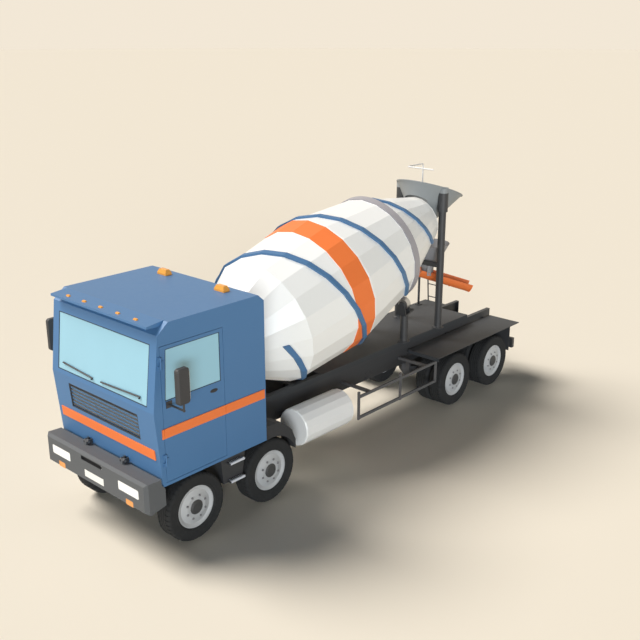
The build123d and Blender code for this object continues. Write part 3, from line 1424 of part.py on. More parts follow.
with BuildPart() as rear_ladder:
    for rail in LADDER_RAILS:
        with BuildLine() as upright:
            Line(
                (ladder_x(LADDER_LOW), rail, LADDER_LOW),
                (ladder_x(LADDER_HIGH), rail, LADDER_HIGH),
            )
        with BuildSketch(Plane(origin=upright.line @ 0, z_dir=upright.line % 0)):
            Circle(LADDER_RAIL)
        sweep(path=upright.line)
        with Locations((FENDER_REAR - 10.3, rail, FENDER_TOP - FENDER_PLATE / 2)):
            Box(20, 40, FENDER_PLATE)
    for rung in range(LADDER_RUNGS):
        height = LADDER_LOW + 60 + 300 * rung
        with BuildSketch(Plane.XZ.offset(-LADDER_RAILS[0])):
            with Locations((ladder_x(height), height)):
                Circle(12)
        extrude(amount=LADDER_RAILS[0] - LADDER_RAILS[1])
    with BuildSketch(Plane.XY.offset(FENDER_TOP + SEAT)):
        with Locations((STAND_X, STAND_Y)):
            Circle(STAND_RADIUS)
    extrude(amount=STAND_TOP - FENDER_TOP - SEAT)
    with BuildSketch(Plane.XY.offset(FENDER_TOP + SEAT)):
        with Locations((STAND_X, STAND_Y)):
            Rectangle(110, 110)
    extrude(amount=12)
keep("rear_ladder", rear_ladder.part)

# ================================================================ engine
with BuildPart() as engine:
    with Locations((AXLE_1 - 300, 0, 850)):
        Box(1300, 600, 460)
    with Locations((AXLE_1 - 1250, 0, 800)):
        Box(640, 420, 320)
    for side in (1, -1):
        for station in (AXLE_1 + 150, AXLE_1 - 620):
            with Locations((station, side * 350, RAIL_BOTTOM + RAIL_WEB + SEAT + 45)):
                Box(110, 130, 90)
keep("engine", engine.part)

# ================================================================ axles with their springs
KINGPIN_Y = TRACK_HALF - 50
KINGPIN_RADIUS = 20
EYE_RADIUS = 45
EYE_HALF = 70
BEAM_TOP = 600
BEAM_WIDTH = 110
BEAM_DEPTH_FRONT = 105
SPRING_HALF = 560
SPRING_WIDTH = 76
SPRING_THICK = 42
SPRING_SAG = 150
HANGER = 60
TUBE_RADIUS = 62
DIFF_RADIUS = 210


def spring_outline(axle):
    """Side view of a spring pack with its two hangers below the rail."""
    top = RAIL_BOTTOM - SEAT
    eye = BEAM_TOP + SPRING_SAG
    return (
        (axle - SPRING_HALF, top),
        (axle - SPRING_HALF, eye - SPRING_THICK),
        (axle - 110, BEAM_TOP - 2),
        (axle + 110, BEAM_TOP - 2),
        (axle + SPRING_HALF, eye - SPRING_THICK),
        (axle + SPRING_HALF, top),
        (axle + SPRING_HALF - HANGER, top),
        (axle + SPRING_HALF - HANGER, eye),
        (axle + 110, BEAM_TOP + SPRING_THICK + 24),
        (axle - 110, BEAM_TOP + SPRING_THICK + 24),
        (axle - SPRING_HALF + HANGER, eye),
        (axle - SPRING_HALF + HANGER, top),
    )


with BuildPart() as front_axles:
    for axle in (AXLE_1, AXLE_2):
        with Locations((axle, 0, BEAM_TOP - BEAM_DEPTH_FRONT / 2)):
            Box(BEAM_WIDTH, 2 * (KINGPIN_Y - 120), BEAM_DEPTH_FRONT)
        for side in (1, -1):
            with Locations((axle, side * (KINGPIN_Y - 80), TYRE_RADIUS)):
                Box(2 * EYE_RADIUS - 10, 120, 90)
            with Locations((axle, side * KINGPIN_Y, TYRE_RADIUS)):
                Cylinder(EYE_RADIUS, 2 * EYE_HALF)
            with BuildSketch(Plane.XZ.offset(-side * (RAIL_OUTER - RAIL_FLANGE / 2))):
                with BuildLine():
                    Polyline(*spring_outline(axle), close=True)
                make_face()
            extrude(amount=SPRING_WIDTH / 2, both=True)
            with Locations((axle, side * KINGPIN_Y, TYRE_RADIUS)):
                Cylinder(KINGPIN_RADIUS + RUNNING, 3 * EYE_HALF, mode=Mode.SUBTRACT)
keep("front_axles", front_axles.part)

with BuildPart() as rear_axles:
    for axle in (AXLE_3, AXLE_4):
        with BuildSketch(Plane.XZ):
            with Locations((axle, TYRE_RADIUS)):
                Circle(TUBE_RADIUS)
        extrude(amount=TRACK_HALF - 30, both=True)
        with BuildSketch(Plane.XZ):
            with Locations((axle, TYRE_RADIUS)):
                Circle(SPINDLE_RADIUS)
        extrude(amount=TRACK_HALF + DISC_FACE - 5, both=True)
        with BuildSketch(Plane.XZ):
            with Locations((axle, TYRE_RADIUS)):
                Circle(DIFF_RADIUS)
        extrude(amount=130, both=True, taper=30)
        for side in (1, -1):
            with BuildSketch(Plane.XZ.offset(-side * (RAIL_OUTER - RAIL_FLANGE / 2))):
                with BuildLine():
                    Polyline(*spring_outline(axle), close=True)
                make_face()
            extrude(amount=SPRING_WIDTH / 2, both=True)
            with Locations(
                (
                    axle,
                    side * (RAIL_OUTER - RAIL_FLANGE / 2),
                    (TYRE_RADIUS + BEAM_TOP) / 2,
                )
            ):
                Box(150, SPRING_WIDTH, BEAM_TOP - TYRE_RADIUS + 10)
keep("rear_axles", rear_axles.part)

# ================================================================ steering knuckles
KNUCKLE_LUG = 26
KNUCKLE_REACH = 55
for label, axle, side in (
    ("1_left", AXLE_1, 1),
    ("1_right", AXLE_1, -1),
    ("2_left", AXLE_2, 1),
    ("2_right", AXLE_2, -1),
):
    with BuildPart() as knuckle:
        with Locations((axle, side * KINGPIN_Y, TYRE_RADIUS)):
            Cylinder(KINGPIN_RADIUS, 2 * (EYE_HALF + 1 + KNUCKLE_LUG))
        for level in (1, -1):
            with BuildSketch(Plane.XY.offset(TYRE_RADIUS + level * (EYE_HALF + 1))):
                with Locations((axle, side * KINGPIN_Y)):
                    Circle(EYE_RADIUS)
                with Locations((axle, side * (KINGPIN_Y + KNUCKLE_REACH / 2 + 12))):
                    Rectangle(2 * EYE_RADIUS, KNUCKLE_REACH + 24)
            extrude(amount=level * KNUCKLE_LUG)
        with Locations((axle, side * (KINGPIN_Y + KNUCKLE_REACH + 12), TYRE_RADIUS)):
            Box(2 * EYE_RADIUS, 24, 2 * (EYE_HALF + 1 + KNUCKLE_LUG))
        with BuildSketch(Plane.XZ.offset(-side * (KINGPIN_Y + KNUCKLE_REACH + 12))):
            with Locations((axle, TYRE_RADIUS)):
                Circle(SPINDLE_RADIUS)
        extrude(amount=-side * (TRACK_HALF + DISC_FACE - 5 - KINGPIN_Y - KNUCKLE_REACH - 12))
    keep(f"knuckle_{label}", knuckle.part)

# ================================================================ wheels
TYRE_HALF = TYRE_WIDTH / 2
WHEELS = (
    ("1_left", AXLE_1, 1, (0,)),
    ("1_right", AXLE_1, -1, (0,)),
    ("2_left", AXLE_2, 1, (0,)),
    ("2_right", AXLE_2, -1, (0,)),
    ("3_left", AXLE_3, 1, (0, TWIN_STEP)),
    ("3_right", AXLE_3, -1, (0, TWIN_STEP)),
    ("4_left", AXLE_4, 1, (0, TWIN_STEP)),
    ("4_right", AXLE_4, -1, (0, TWIN_STEP)),
)
for label, axle, side, steps_in in WHEELS:
    hub_axis = Axis((axle, 0, TYRE_RADIUS), (0, 1, 0))
    with BuildPart() as tyre:
        for step in steps_in:
            middle = side * (TRACK_HALF - step)
            with BuildSketch(Plane.YZ.offset(axle)):
                with BuildLine():
                    Polyline(
                        (middle - TYRE_HALF + 22, TYRE_RADIUS + RIM_RADIUS + SEAT),
                        (middle - TYRE_HALF, TYRE_RADIUS + RIM_RADIUS + 60),
                        (middle - TYRE_HALF, 2 * TYRE_RADIUS - TYRE_SHOULDER),
                        (middle - TYRE_HALF + TYRE_SHOULDER, 2 * TYRE_RADIUS),
                        (middle + TYRE_HALF - TYRE_SHOULDER, 2 * TYRE_RADIUS),
                        (middle + TYRE_HALF, 2 * TYRE_RADIUS - TYRE_SHOULDER),
                        (middle + TYRE_HALF, TYRE_RADIUS + RIM_RADIUS + 60),
                        (middle + TYRE_HALF - 22, TYRE_RADIUS + RIM_RADIUS + SEAT),
                        close=True,
                    )
                make_face()
        revolve(axis=hub_axis)
    keep(f"tyre_{label}", tyre.part)

    inboard = TRACK_HALF - steps_in[-1] - TYRE_HALF + 22
    face = TRACK_HALF + DISC_FACE
    lip = TRACK_HALF + TYRE_HALF - 22
    with BuildPart() as rim:
        with BuildSketch(Plane.YZ.offset(axle)):
            with BuildLine():
                Polyline(
                    (side * inboard, TYRE_RADIUS + RIM_RADIUS),
                    (side * lip, TYRE_RADIUS + RIM_RADIUS),
                    (side * lip, TYRE_RADIUS + RIM_RADIUS - 14),
                    (side * (face - RIM_DISH), TYRE_RADIUS + RIM_RADIUS - 60),
                    (side * face, TYRE_RADIUS + HUB_RADIUS + 60),
                    (side * face, TYRE_RADIUS + HUB_RADIUS),
                    (side * (face + HUB_CAP), TYRE_RADIUS + HUB_RADIUS - 16),
                    (side * (face + HUB_CAP), TYRE_RADIUS),
                    (side * (face - 3), TYRE_RADIUS),
                    (side * (face - 3), TYRE_RADIUS + SPINDLE_RADIUS + RUNNING),
                    (side * (TRACK_HALF + 35), TYRE_RADIUS + SPINDLE_RADIUS + RUNNING),
                    (side * (TRACK_HALF + 35), TYRE_RADIUS + HUB_RADIUS - 10),
                    (side * (face - RIM_DISC), TYRE_RADIUS + HUB_RADIUS + 30),
                    (side * (face - RIM_DISC - RIM_DISH), TYRE_RADIUS + RIM_RADIUS - RIM_WALL),
                    (side * inboard, TYRE_RADIUS + RIM_RADIUS - RIM_WALL),
                    close=True,
                )
            make_face()
        revolve(axis=hub_axis)
    keep(f"rim_{label}", rim.part)

for name, part in nodes:
    export_step(part, f"parts/{name}.step")
    print(name, len(part.solids()), round(part.volume / 1e9, 4))
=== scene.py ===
"""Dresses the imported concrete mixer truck: paint, rubber, glass, lamps and small fittings."""
import math

import bmesh
import bpy
from bpy.props import FloatProperty, FloatVectorProperty, IntProperty, PointerProperty
from bpy.types import Operator, Panel, PropertyGroup
from mathutils import Matrix, Vector


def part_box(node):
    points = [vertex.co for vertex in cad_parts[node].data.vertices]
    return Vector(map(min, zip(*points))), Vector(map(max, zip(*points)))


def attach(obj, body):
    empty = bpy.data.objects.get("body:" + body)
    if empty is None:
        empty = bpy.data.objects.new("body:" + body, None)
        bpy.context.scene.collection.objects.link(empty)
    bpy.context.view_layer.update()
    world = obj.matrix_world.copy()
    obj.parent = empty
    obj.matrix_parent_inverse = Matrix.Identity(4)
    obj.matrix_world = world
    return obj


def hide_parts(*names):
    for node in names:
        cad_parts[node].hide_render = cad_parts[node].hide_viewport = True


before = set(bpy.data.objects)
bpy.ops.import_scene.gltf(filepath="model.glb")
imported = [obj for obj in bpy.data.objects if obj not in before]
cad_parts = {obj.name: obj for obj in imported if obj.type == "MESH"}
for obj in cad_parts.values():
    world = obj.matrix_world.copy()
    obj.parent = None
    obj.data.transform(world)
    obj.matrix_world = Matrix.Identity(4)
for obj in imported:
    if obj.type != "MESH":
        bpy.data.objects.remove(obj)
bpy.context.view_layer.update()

bl_info = {
    "name": "Concrete Mixer Truck Dressing",
    "version": (1, 0, 0),
    "blender": (4, 5, 0),
    "location": "3D View > Sidebar > Mixer",
    "description": "Adds finishes and fittings to the packed mixer truck",
    "category": "Object",
}

ALONG = Vector((1, 0, 0))
ACROSS = Vector((0, 1, 0))
UP = Vector((0, 0, 1))
SIDES = (("left", 1), ("right", -1))

# ------------------------------------------------------------------ places on the truck
# Metres, x forward, y to the left and z up from the ground. "Half" is a distance from the middle line.

# wheels
WHEELS = tuple(f"{axle}_{side}" for axle in (1, 2, 3, 4) for side, _ in SIDES)  # 1_left and so on
TWIN_AXLES = "34"
TWIN_STEP = 0.320  # between the middles of twin tyres
TRACK_HALF = 1.035  # to the middle of an outer tyre
TYRE_RADIUS = 0.525
BEAD_RADIUS = 0.3284
HUB_FACE = 0.125  # from the middle of the outer tyre

# cab: the face leans forward up to the crease, and the windscreen leans back above it
CREASE = Vector((4.704, 0.0, 2.240))
FACE_LEAN = 94 / 1122  # run for each metre of rise
BROW_LEAN = 134 / 1074
BROW_SCALE = math.hypot(1, BROW_LEAN)
# x across, y up the windscreen's plane from the crease, z out of it
BROW = Matrix.Translation(CREASE) @ Matrix((
    (0, -BROW_LEAN / BROW_SCALE, 1 / BROW_SCALE, 0),
    (1, 0, 0, 0),
    (0, 1 / BROW_SCALE, BROW_LEAN / BROW_SCALE, 0),
    (0, 0, 0, 1),
))
CAB_HALF = 1.229
SCREEN_HALF = 1.080
SCREEN_LOW = 2.300
SCREEN_HIGH = 3.174
DOOR_WINDOW = ((3.509, 2.370), (4.504, 2.370), (4.459, 3.105), (3.509, 3.105))  # x, z
GLASS_RECESS = 0.006
DOOR_STRIPE = (1.833, 1.978)  # lower and upper edge
HANDLE_X = 3.644
HANDLE_HEIGHT = 2.262
MIRROR_GLASS_HALF = 1.550
MIRROR_GLASS_HEIGHT = 2.665
GRILLE_BACK = -0.022  # out from the cab's face: the slats stand in front of this
TILT_ARM_PROUD = 0.012  # out from the same face
TILT_ARM_TOP = 1.345
TILT_ARM_HALVES = (0.38, 0.52)

# bumper, steps and rear bar
FRONT_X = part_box("bumper")[1].x
PLATE_GROUND = FRONT_X - 0.0049  # x of the face behind the front plate
INDICATOR_TOP = 0.95
TOW_SLOT = ((FRONT_X - 0.036, FRONT_X - 0.001), (-0.302, 0.222), (1.139, 1.209))  # x, y, z
TOW_PIN = Vector((FRONT_X - 0.017, 0.205, 0.0))
STEP_LEVELS = (0.680, 0.978)
STEP_FRONT = 3.374
STEP_REAR = 3.074
STEP_HALF = 1.215
REAR_BAR_FACE = -4.881
REAR_LAMP_FACE = -4.891
REAR_LAMP_HALF = 1.050
REAR_LAMP_HEIGHT = 0.675

# frame, deck and posts
RAIL_HALF = 0.440
CROSS_MEMBERS = (4.564, 2.344, 1.604, 0.554, -0.746, -1.976, -3.2835, -4.766)
DECK_TOP = 1.3858
POST_X = -2.876
POST_HALF = 0.500
COLUMN_X = -1.756
SLEEVE_RADIUS = 0.101
SLEEVE_TOP = 4.105
STAND = Vector((-4.416, -1.100, 2.080))  # top of the control stand

# drum: stations lie on its axis, from its centre towards its mouth
DRUM_TILT = math.radians(14.17)
DRUM_CENTRE = Vector((0.004, 0.0, 2.825))
DRUM_AXIS = Vector((-math.cos(DRUM_TILT), 0, math.sin(DRUM_TILT)))
DRUM_UP = Vector((math.sin(DRUM_TILT), 0, math.cos(DRUM_TILT)))
DRUM_SIDES = 20
DRUM_SEAMS = ((-1.522, 1.117), (-0.041, 1.232), (1.333, 1.035))  # station, radius
DRUM_MOUTH = (2.850, 0.481)  # station, radius
DRUM_SPLASH = (-2.6, -0.8)  # x where the splashes are full and where they end

# hopper and chute
HOPPER_TILT = math.radians(20.4)
HOPPER_CENTRE = Vector((-3.122, 0.0, 4.108))
HOPPER_RADIUS = 0.657
CHUTE_PIVOT = Vector((-3.161, 0.0, 2.400))
CHUTE_HEADING = math.radians(135)
CHUTE_SLOPE = math.radians(17.6)
CHUTE_RADIUS = 0.180
CHUTE_LENGTH = 0.950
CHUTE_RIM_RISE = 0.020


# ------------------------------------------------------------------ settings
class MixerPaintSettings(PropertyGroup):
    """Colours of the finishes"""

    cab_blue: FloatVectorProperty(
        name="Cab blue", description="Paint of the cab and doors", subtype="COLOR",
        size=3, min=0, max=1, default=(0.078, 0.196, 0.390))
    stripe_orange: FloatVectorProperty(
        name="Stripe orange", description="Paint of the stripes, drum band and chute",
        subtype="COLOR", size=3, min=0, max=1, default=(0.90, 0.215, 0.055))
    drum_white: FloatVectorProperty(
        name="Drum white", description="Paint of the drum", subtype="COLOR",
        size=3, min=0, max=1, default=(0.94, 0.94, 0.915))
    rib_blue: FloatVectorProperty(
        name="Rib blue", description="Paint of the helical ribs", subtype="COLOR",
        size=3, min=0, max=1, default=(0.078, 0.184, 0.350))
    frame_grey: FloatVectorProperty(
        name="Frame grey", description="Paint of the chassis and posts", subtype="COLOR",
        size=3, min=0, max=1, default=(0.036, 0.038, 0.042))
    bumper_grey: FloatVectorProperty(
        name="Bumper grey", description="Moulded colour of the bumper", subtype="COLOR",
        size=3, min=0, max=1, default=(0.108, 0.115, 0.122))
    glass_tint: FloatVectorProperty(
        name="Glass tint", description="Tint of the windows", subtype="COLOR",
        size=3, min=0, max=1, default=(0.34, 0.63, 0.77))
    floor_cream: FloatVectorProperty(
        name="Floor cream", description="Colour of the studio floor", subtype="COLOR",
        size=3, min=0, max=1, default=(0.808, 0.748, 0.634))


class MixerSizeSettings(PropertyGroup):
    """Sizes of the small fittings"""

    groove_depth: FloatProperty(
        name="Groove depth", description="Depth of the tyre grooves", subtype="DISTANCE",
        unit="LENGTH", min=0.004, max=0.02, default=0.012)
    tyre_steps: IntProperty(
        name="Tyre steps", description="Segments round a tyre", min=48, max=256, default=160)
    nut_circle: FloatProperty(
        name="Nut circle radius", description="Radius that the wheel nuts stand on",
        subtype="DISTANCE", unit="LENGTH", min=0.14, max=0.24, default=0.178)
    nut_count: IntProperty(
        name="Wheel nuts", description="Nuts on each wheel", min=6, max=12, default=8)
    seal_width: FloatProperty(
        name="Seal width", description="Visible width of the window rubbers",
        subtype="DISTANCE", unit="LENGTH", min=0.004, max=0.03, default=0.014)
    plate_width: FloatProperty(
        name="Plate width", description="Width of the blank number plates",
        subtype="DISTANCE", unit="LENGTH", min=0.3, max=0.6, default=0.470)
    plate_height: FloatProperty(
        name="Plate height", description="Height of the blank number plates",
        subtype="DISTANCE", unit="LENGTH", min=0.08, max=0.2, default=0.110)


class MixerStageSettings(PropertyGroup):
    """Lamps, floor and camera"""

    key_strength: FloatProperty(
        name="Key strength", description="Strength of the soft key lamp", min=0, max=20,
        default=3.95)
    key_spread: FloatProperty(
        name="Key spread", description="Angular size of the key lamp", subtype="ANGLE",
        unit="ROTATION", min=0, max=1.5, default=math.radians(32))
    fill_strength: FloatProperty(
        name="Fill strength", description="Strength of the low fill lamp", min=0, max=20,
        default=3.25)
    sky_strength: FloatProperty(
        name="Sky strength", description="Strength of the surrounding light", min=0, max=5,
        default=0.06)
    lens: FloatProperty(
        name="Lens", description="Focal length of the camera in millimetres", min=20, max=120,
        default=50)


# ------------------------------------------------------------------ shader nodes
def feed(tree, socket, value):
    """Links another socket to an input, or sets it to a colour or a number."""
    if isinstance(value, bpy.types.NodeSocket):
        tree.links.new(value, socket)
    elif isinstance(value, tuple):
        socket.default_value = (*value[:3], 1.0)
    else:
        socket.default_value = value


def object_coords(tree):
    """The place of each point in the truck's frame."""
    return tree.nodes.new("ShaderNodeTexCoord").outputs["Object"]


def object_axis(tree, axis):
    """One coordinate in the truck's frame."""
    parts = tree.nodes.new("ShaderNodeSeparateXYZ")
    tree.links.new(object_coords(tree), parts.inputs[0])
    return parts.outputs[axis]


def noise_node(tree, coords, scale, detail=3.0, roughness=0.55):
    """A noise texture on given coordinates."""
    noise = tree.nodes.new("ShaderNodeTexNoise")
    noise.inputs["Detail"].default_value = detail
    noise.inputs["Roughness"].default_value = roughness
    feed(tree, noise.inputs["Scale"], scale)
    tree.links.new(coords, noise.inputs["Vector"])
    return noise.outputs["Fac"]


def map_range(tree, value, low, high, to_low=0.0, to_high=1.0):
    """Maps a value smoothly from one range to another."""
    node = tree.nodes.new("ShaderNodeMapRange")
    node.interpolation_type = "SMOOTHSTEP"
    for name, given in (("Value", value), ("From Min", low), ("From Max", high),
                        ("To Min", to_low), ("To Max", to_high)):
        feed(tree, node.inputs[name], given)
    return node.outputs["Result"]


def math_node(tree, operation, *values):
    """A math node of sockets or numbers."""
    node = tree.nodes.new("ShaderNodeMath")
    node.operation = operation
    for socket, value in zip(node.inputs, values):
        feed(tree, socket, value)
    return node.outputs[0]


def product(tree, first, *others):
    """Multiplies sockets or numbers; of masks, this is where they all hold."""
    for other in others:
        first = math_node(tree, "MULTIPLY", first, other)
    return first


def mix_colour(tree, factor, first, second):
    """Mixes two colours, each a socket or a tuple."""
    node = tree.nodes.new("ShaderNodeMix")
    node.data_type = "RGBA"
    # the colour inputs of this node stand at 6 and 7, and its colour output at 2
    for index, value in ((0, factor), (6, first), (7, second)):
        feed(tree, node.inputs[index], value)
    return node.outputs[2]


def masked_colour(tree, colour, mask, second):
    """A colour or, where a mask holds, a second one."""
    if not mask:
        return tuple(colour)
    return mix_colour(tree, mask(tree), tuple(colour), tuple(second))


def bump_into(tree, shader, height, distance):
    """Feeds a height into the shader's normal."""
    bump = tree.nodes.new("ShaderNodeBump")
    bump.inputs["Strength"].default_value = 0.6
    bump.inputs["Distance"].default_value = distance
    tree.links.new(height, bump.inputs["Height"])
    tree.links.new(bump.outputs["Normal"], shader.inputs["Normal"])


# ------------------------------------------------------------------ shared node groups
def new_group(name, inputs, outputs):
    """An empty node group; a socket with a tuple as its default is a colour."""
    tree = bpy.data.node_groups.new(name, "ShaderNodeTree")
    for way, sockets in (("INPUT", inputs), ("OUTPUT", outputs)):
        for label, default in sockets.items():
            kind = "NodeSocketColor" if isinstance(default, tuple) else "NodeSocketFloat"
            socket = tree.interface.new_socket(name=label, in_out=way, socket_type=kind)
            socket.default_value = default
    return tree, tree.nodes.new("NodeGroupInput"), tree.nodes.new("NodeGroupOutput")


def surface_film_group():
    """Paint or plastic that has lived outdoors: faint mottling, dust low down and fine texture."""
    found = bpy.data.node_groups.get("Surface film")
    if found:
        return found
    inputs = {
        "Colour": (0.5, 0.5, 0.5, 1), "Mottle": 0.05, "Dust Colour": (0.40, 0.39, 0.37, 1),
        "Dust Height": 1.3, "Dust": 0.2, "Roughness": 0.45, "Grain Scale": 90.0,
    }
    outputs = {"Colour": (0.0, 0.0, 0.0, 1), "Roughness": 0.0, "Height": 0.0}
    tree, entry, leave = new_group("Surface film", inputs, outputs)
    given = entry.outputs
    coords = object_coords(tree)
    large = noise_node(tree, coords, 1.6, 4.0)
    fine = noise_node(tree, coords, 14.0, 5.0, 0.65)
    grain = noise_node(tree, coords, given["Grain Scale"], 2.0, 0.5)

    both = math_node(tree, "ADD", product(tree, large, 0.6), product(tree, fine, 0.4))
    shade = math_node(tree, "MULTIPLY_ADD", math_node(tree, "SUBTRACT", both, 0.5), given["Mottle"], 1.0)
    mottled = tree.nodes.new("ShaderNodeVectorMath")
    mottled.operation = "SCALE"
    tree.links.new(given["Colour"], mottled.inputs[0])
    tree.links.new(shade, mottled.inputs["Scale"])

    low = map_range(tree, object_axis(tree, "Z"), 0.0, given["Dust Height"], 1.0, 0.0)
    patches = map_range(tree, fine, 0.35, 0.70, 0.25, 1.0)
    dust = product(tree, low, patches, given["Dust"])
    uneven = product(tree, math_node(tree, "SUBTRACT", fine, 0.5), 0.12)
    rougher = math_node(tree, "MULTIPLY_ADD", dust, 0.35, uneven)

    dusty = mix_colour(tree, dust, mottled.outputs["Vector"], given["Dust Colour"])
    tree.links.new(dusty, leave.inputs["Colour"])
    tree.links.new(math_node(tree, "ADD", given["Roughness"], rougher), leave.inputs["Roughness"])
    tree.links.new(grain, leave.inputs["Height"])
    return tree


def brushed_group():
    """Fine scratches along the truck's length, for bare metal."""
    found = bpy.data.node_groups.get("Brushed metal")
    if found:
        return found
    inputs = {"Stretch": 60.0, "Low": 0.28, "High": 0.5}
    outputs = {"Roughness": 0.0, "Height": 0.0}
    tree, entry, leave = new_group("Brushed metal", inputs, outputs)
    given = entry.outputs
    stretched = tree.nodes.new("ShaderNodeCombineXYZ")
    for axis, stretch in (("X", 3.0), ("Y", given["Stretch"]), ("Z", given["Stretch"])):
        tree.links.new(product(tree, object_axis(tree, axis), stretch), stretched.inputs[axis])
    lines = noise_node(tree, stretched.outputs[0], 2.0, 4.0, 0.6)
    rough = tree.nodes.new("ShaderNodeMapRange")
    tree.links.new(lines, rough.inputs["Value"])
    tree.links.new(given["Low"], rough.inputs["To Min"])
    tree.links.new(given["High"], rough.inputs["To Max"])
    tree.links.new(rough.outputs["Result"], leave.inputs["Roughness"])
    tree.links.new(lines, leave.inputs["Height"])
    return tree


def place_group(tree, group, **values):
    """Places a shared group in a material with its own values."""
    node = tree.nodes.new("ShaderNodeGroup")
    node.node_tree = group
    for key, value in values.items():
        feed(tree, node.inputs[key.replace("_", " ")], value)
    return node


# ------------------------------------------------------------------ masks by place
def between(tree, value, low, high):
    """1 where a value lies between two limits."""
    return math_node(tree, "COMPARE", value, (low + high) / 2, (high - low) / 2)


def half_width(tree):
    """Distance from the truck's middle line."""
    return math_node(tree, "ABSOLUTE", object_axis(tree, "Y"))


def face_depth(tree):
    """How far a point lies in front of the cab's lower face."""
    run = math_node(tree, "SUBTRACT", object_axis(tree, "X"), CREASE.x)
    rise = math_node(tree, "SUBTRACT", object_axis(tree, "Z"), CREASE.z)
    return math_node(tree, "SUBTRACT", run, product(tree, rise, FACE_LEAN))


def door_stripe_mask(tree):
    """1 on the raised stripe of a door."""
    proud = math_node(tree, "GREATER_THAN", half_width(tree), CAB_HALF + 0.0005)
    return product(tree, between(tree, object_axis(tree, "Z"), *DOOR_STRIPE), proud)


def grille_back_blue_and_painted_light_mask(tree):
    """1 on the panel behind the slats, which is painted a blue lighter than the cab's: painted light
    against the shade of its recess.
    """
    return math_node(tree, "LESS_THAN", face_depth(tree), GRILLE_BACK)


def tilt_arm_mask(tree):
    """1 on the small arms that the cab tilts on."""
    proud = math_node(tree, "GREATER_THAN", face_depth(tree), TILT_ARM_PROUD)
    low = math_node(tree, "LESS_THAN", object_axis(tree, "Z"), TILT_ARM_TOP)
    return product(tree, proud, low, between(tree, half_width(tree), *TILT_ARM_HALVES))


def slot_painted_shade_mask(tree):
    """1 on the walls of the towing slot, which get a near-black painted shade for the dark inside the
    hole.
    """
    return product(tree, *(
        between(tree, object_axis(tree, axis), *limits) for axis, limits in zip("XYZ", TOW_SLOT)))


def post_sleeve_mask(tree):
    """1 on the sleeves that seat the hopper on its posts."""
    run = math_node(tree, "SUBTRACT", object_axis(tree, "X"), POST_X)
    out = math_node(tree, "SUBTRACT", half_width(tree), POST_HALF)
    squared = math_node(tree, "ADD", product(tree, run, run), product(tree, out, out))
    near = math_node(tree, "LESS_THAN", squared, SLEEVE_RADIUS ** 2)
    return product(tree, near, math_node(tree, "LESS_THAN", object_axis(tree, "Z"), SLEEVE_TOP))


def indicator_mask(tree):
    """1 on the low lamps of the bumper."""
    return math_node(tree, "LESS_THAN", object_axis(tree, "Z"), INDICATOR_TOP)


# ------------------------------------------------------------------ kinds of material
MATERIALS = {}  # by name, filled as they are made


def new_material(name, colour, **sockets):
    """A material whose Principled shader has its constants set on its own sockets."""
    found = bpy.data.materials.get(name)
    if found:
        bpy.data.materials.remove(found)
    material = bpy.data.materials.new(name)
    material.diffuse_color = (*colour, 1.0)
    material.use_nodes = True
    MATERIALS[name] = material
    shader = material.node_tree.nodes["Principled BSDF"]
    for key, value in sockets.items():
        shader.inputs[key.replace("_", " ")].default_value = value
    return material.node_tree, shader


def film_material(name, colour, roughness=0.45, mottle=0.06, dust=0.06, dust_height=1.3,
                  grain=90.0, bump=0.0004, mask=None, second=None, **sockets):
    """A painted, moulded or cast finish; a mask picks the second colour by place."""
    tree, shader = new_material(name, colour, **sockets)
    film = place_group(tree, surface_film_group(), Colour=masked_colour(tree, colour, mask, second),
                       Mottle=mottle, Dust=dust, Dust_Height=dust_height, Roughness=roughness,
                       Grain_Scale=grain)
    tree.links.new(film.outputs["Colour"], shader.inputs["Base Color"])
    tree.links.new(film.outputs["Roughness"], shader.inputs["Roughness"])
    bump_into(tree, shader, film.outputs["Height"], bump)


def metal_material(name, colour, low=0.28, high=0.5, stretch=60.0):
    """A bare metal with fine scratches."""
    tree, shader = new_material(name, colour, Metallic=1.0, Base_Color=(*colour, 1.0))
    lines = place_group(tree, brushed_group(), Stretch=stretch, Low=low, High=high)
    tree.links.new(lines.outputs["Roughness"], shader.inputs["Roughness"])
    bump_into(tree, shader, lines.outputs["Height"], 0.0003)


def lens_material(name, colour, glow, mask=None, second=None):
    """A moulded lens with fine upright flutes."""
    tree, shader = new_material(name, colour, Roughness=0.25, Coat_Weight=0.2, Emission_Strength=glow)
    flutes = tree.nodes.new("ShaderNodeTexWave")
    flutes.bands_direction = "Y"
    flutes.inputs["Scale"].default_value = 22.0
    tree.links.new(object_coords(tree), flutes.inputs["Vector"])
    darker = tuple(0.72 * channel for channel in colour)
    amount = map_range(tree, flutes.outputs["Fac"], 0.0, 1.0, 0.0, 0.14)
    shaded = mix_colour(tree, amount, masked_colour(tree, colour, mask, second), darker)
    tree.links.new(shaded, shader.inputs["Base Color"])
    tree.links.new(shaded, shader.inputs["Emission Color"])
    bump_into(tree, shader, flutes.outputs["Fac"], 0.001)


def glass_material(name, tint, cover):
    """Tinted window glass: pale, faintly streaked and part see-through."""
    tree, shader = new_material(name, tint, Transmission_Weight=0.0, Metallic=0.0, IOR=1.45,
                                Coat_Weight=0.3, Alpha=cover)
    coords = object_coords(tree)
    streaks = map_range(tree, noise_node(tree, coords, 2.2), 0.35, 0.65, 0.0, 0.10)
    smears = map_range(tree, noise_node(tree, coords, 9.0, 4.0), 0.3, 0.7, 0.08, 0.2)
    paler = tuple(min(1.0, 1.12 * channel) for channel in tint)
    tree.links.new(mix_colour(tree, streaks, tuple(tint), paler), shader.inputs["Base Color"])
    tree.links.new(smears, shader.inputs["Roughness"])


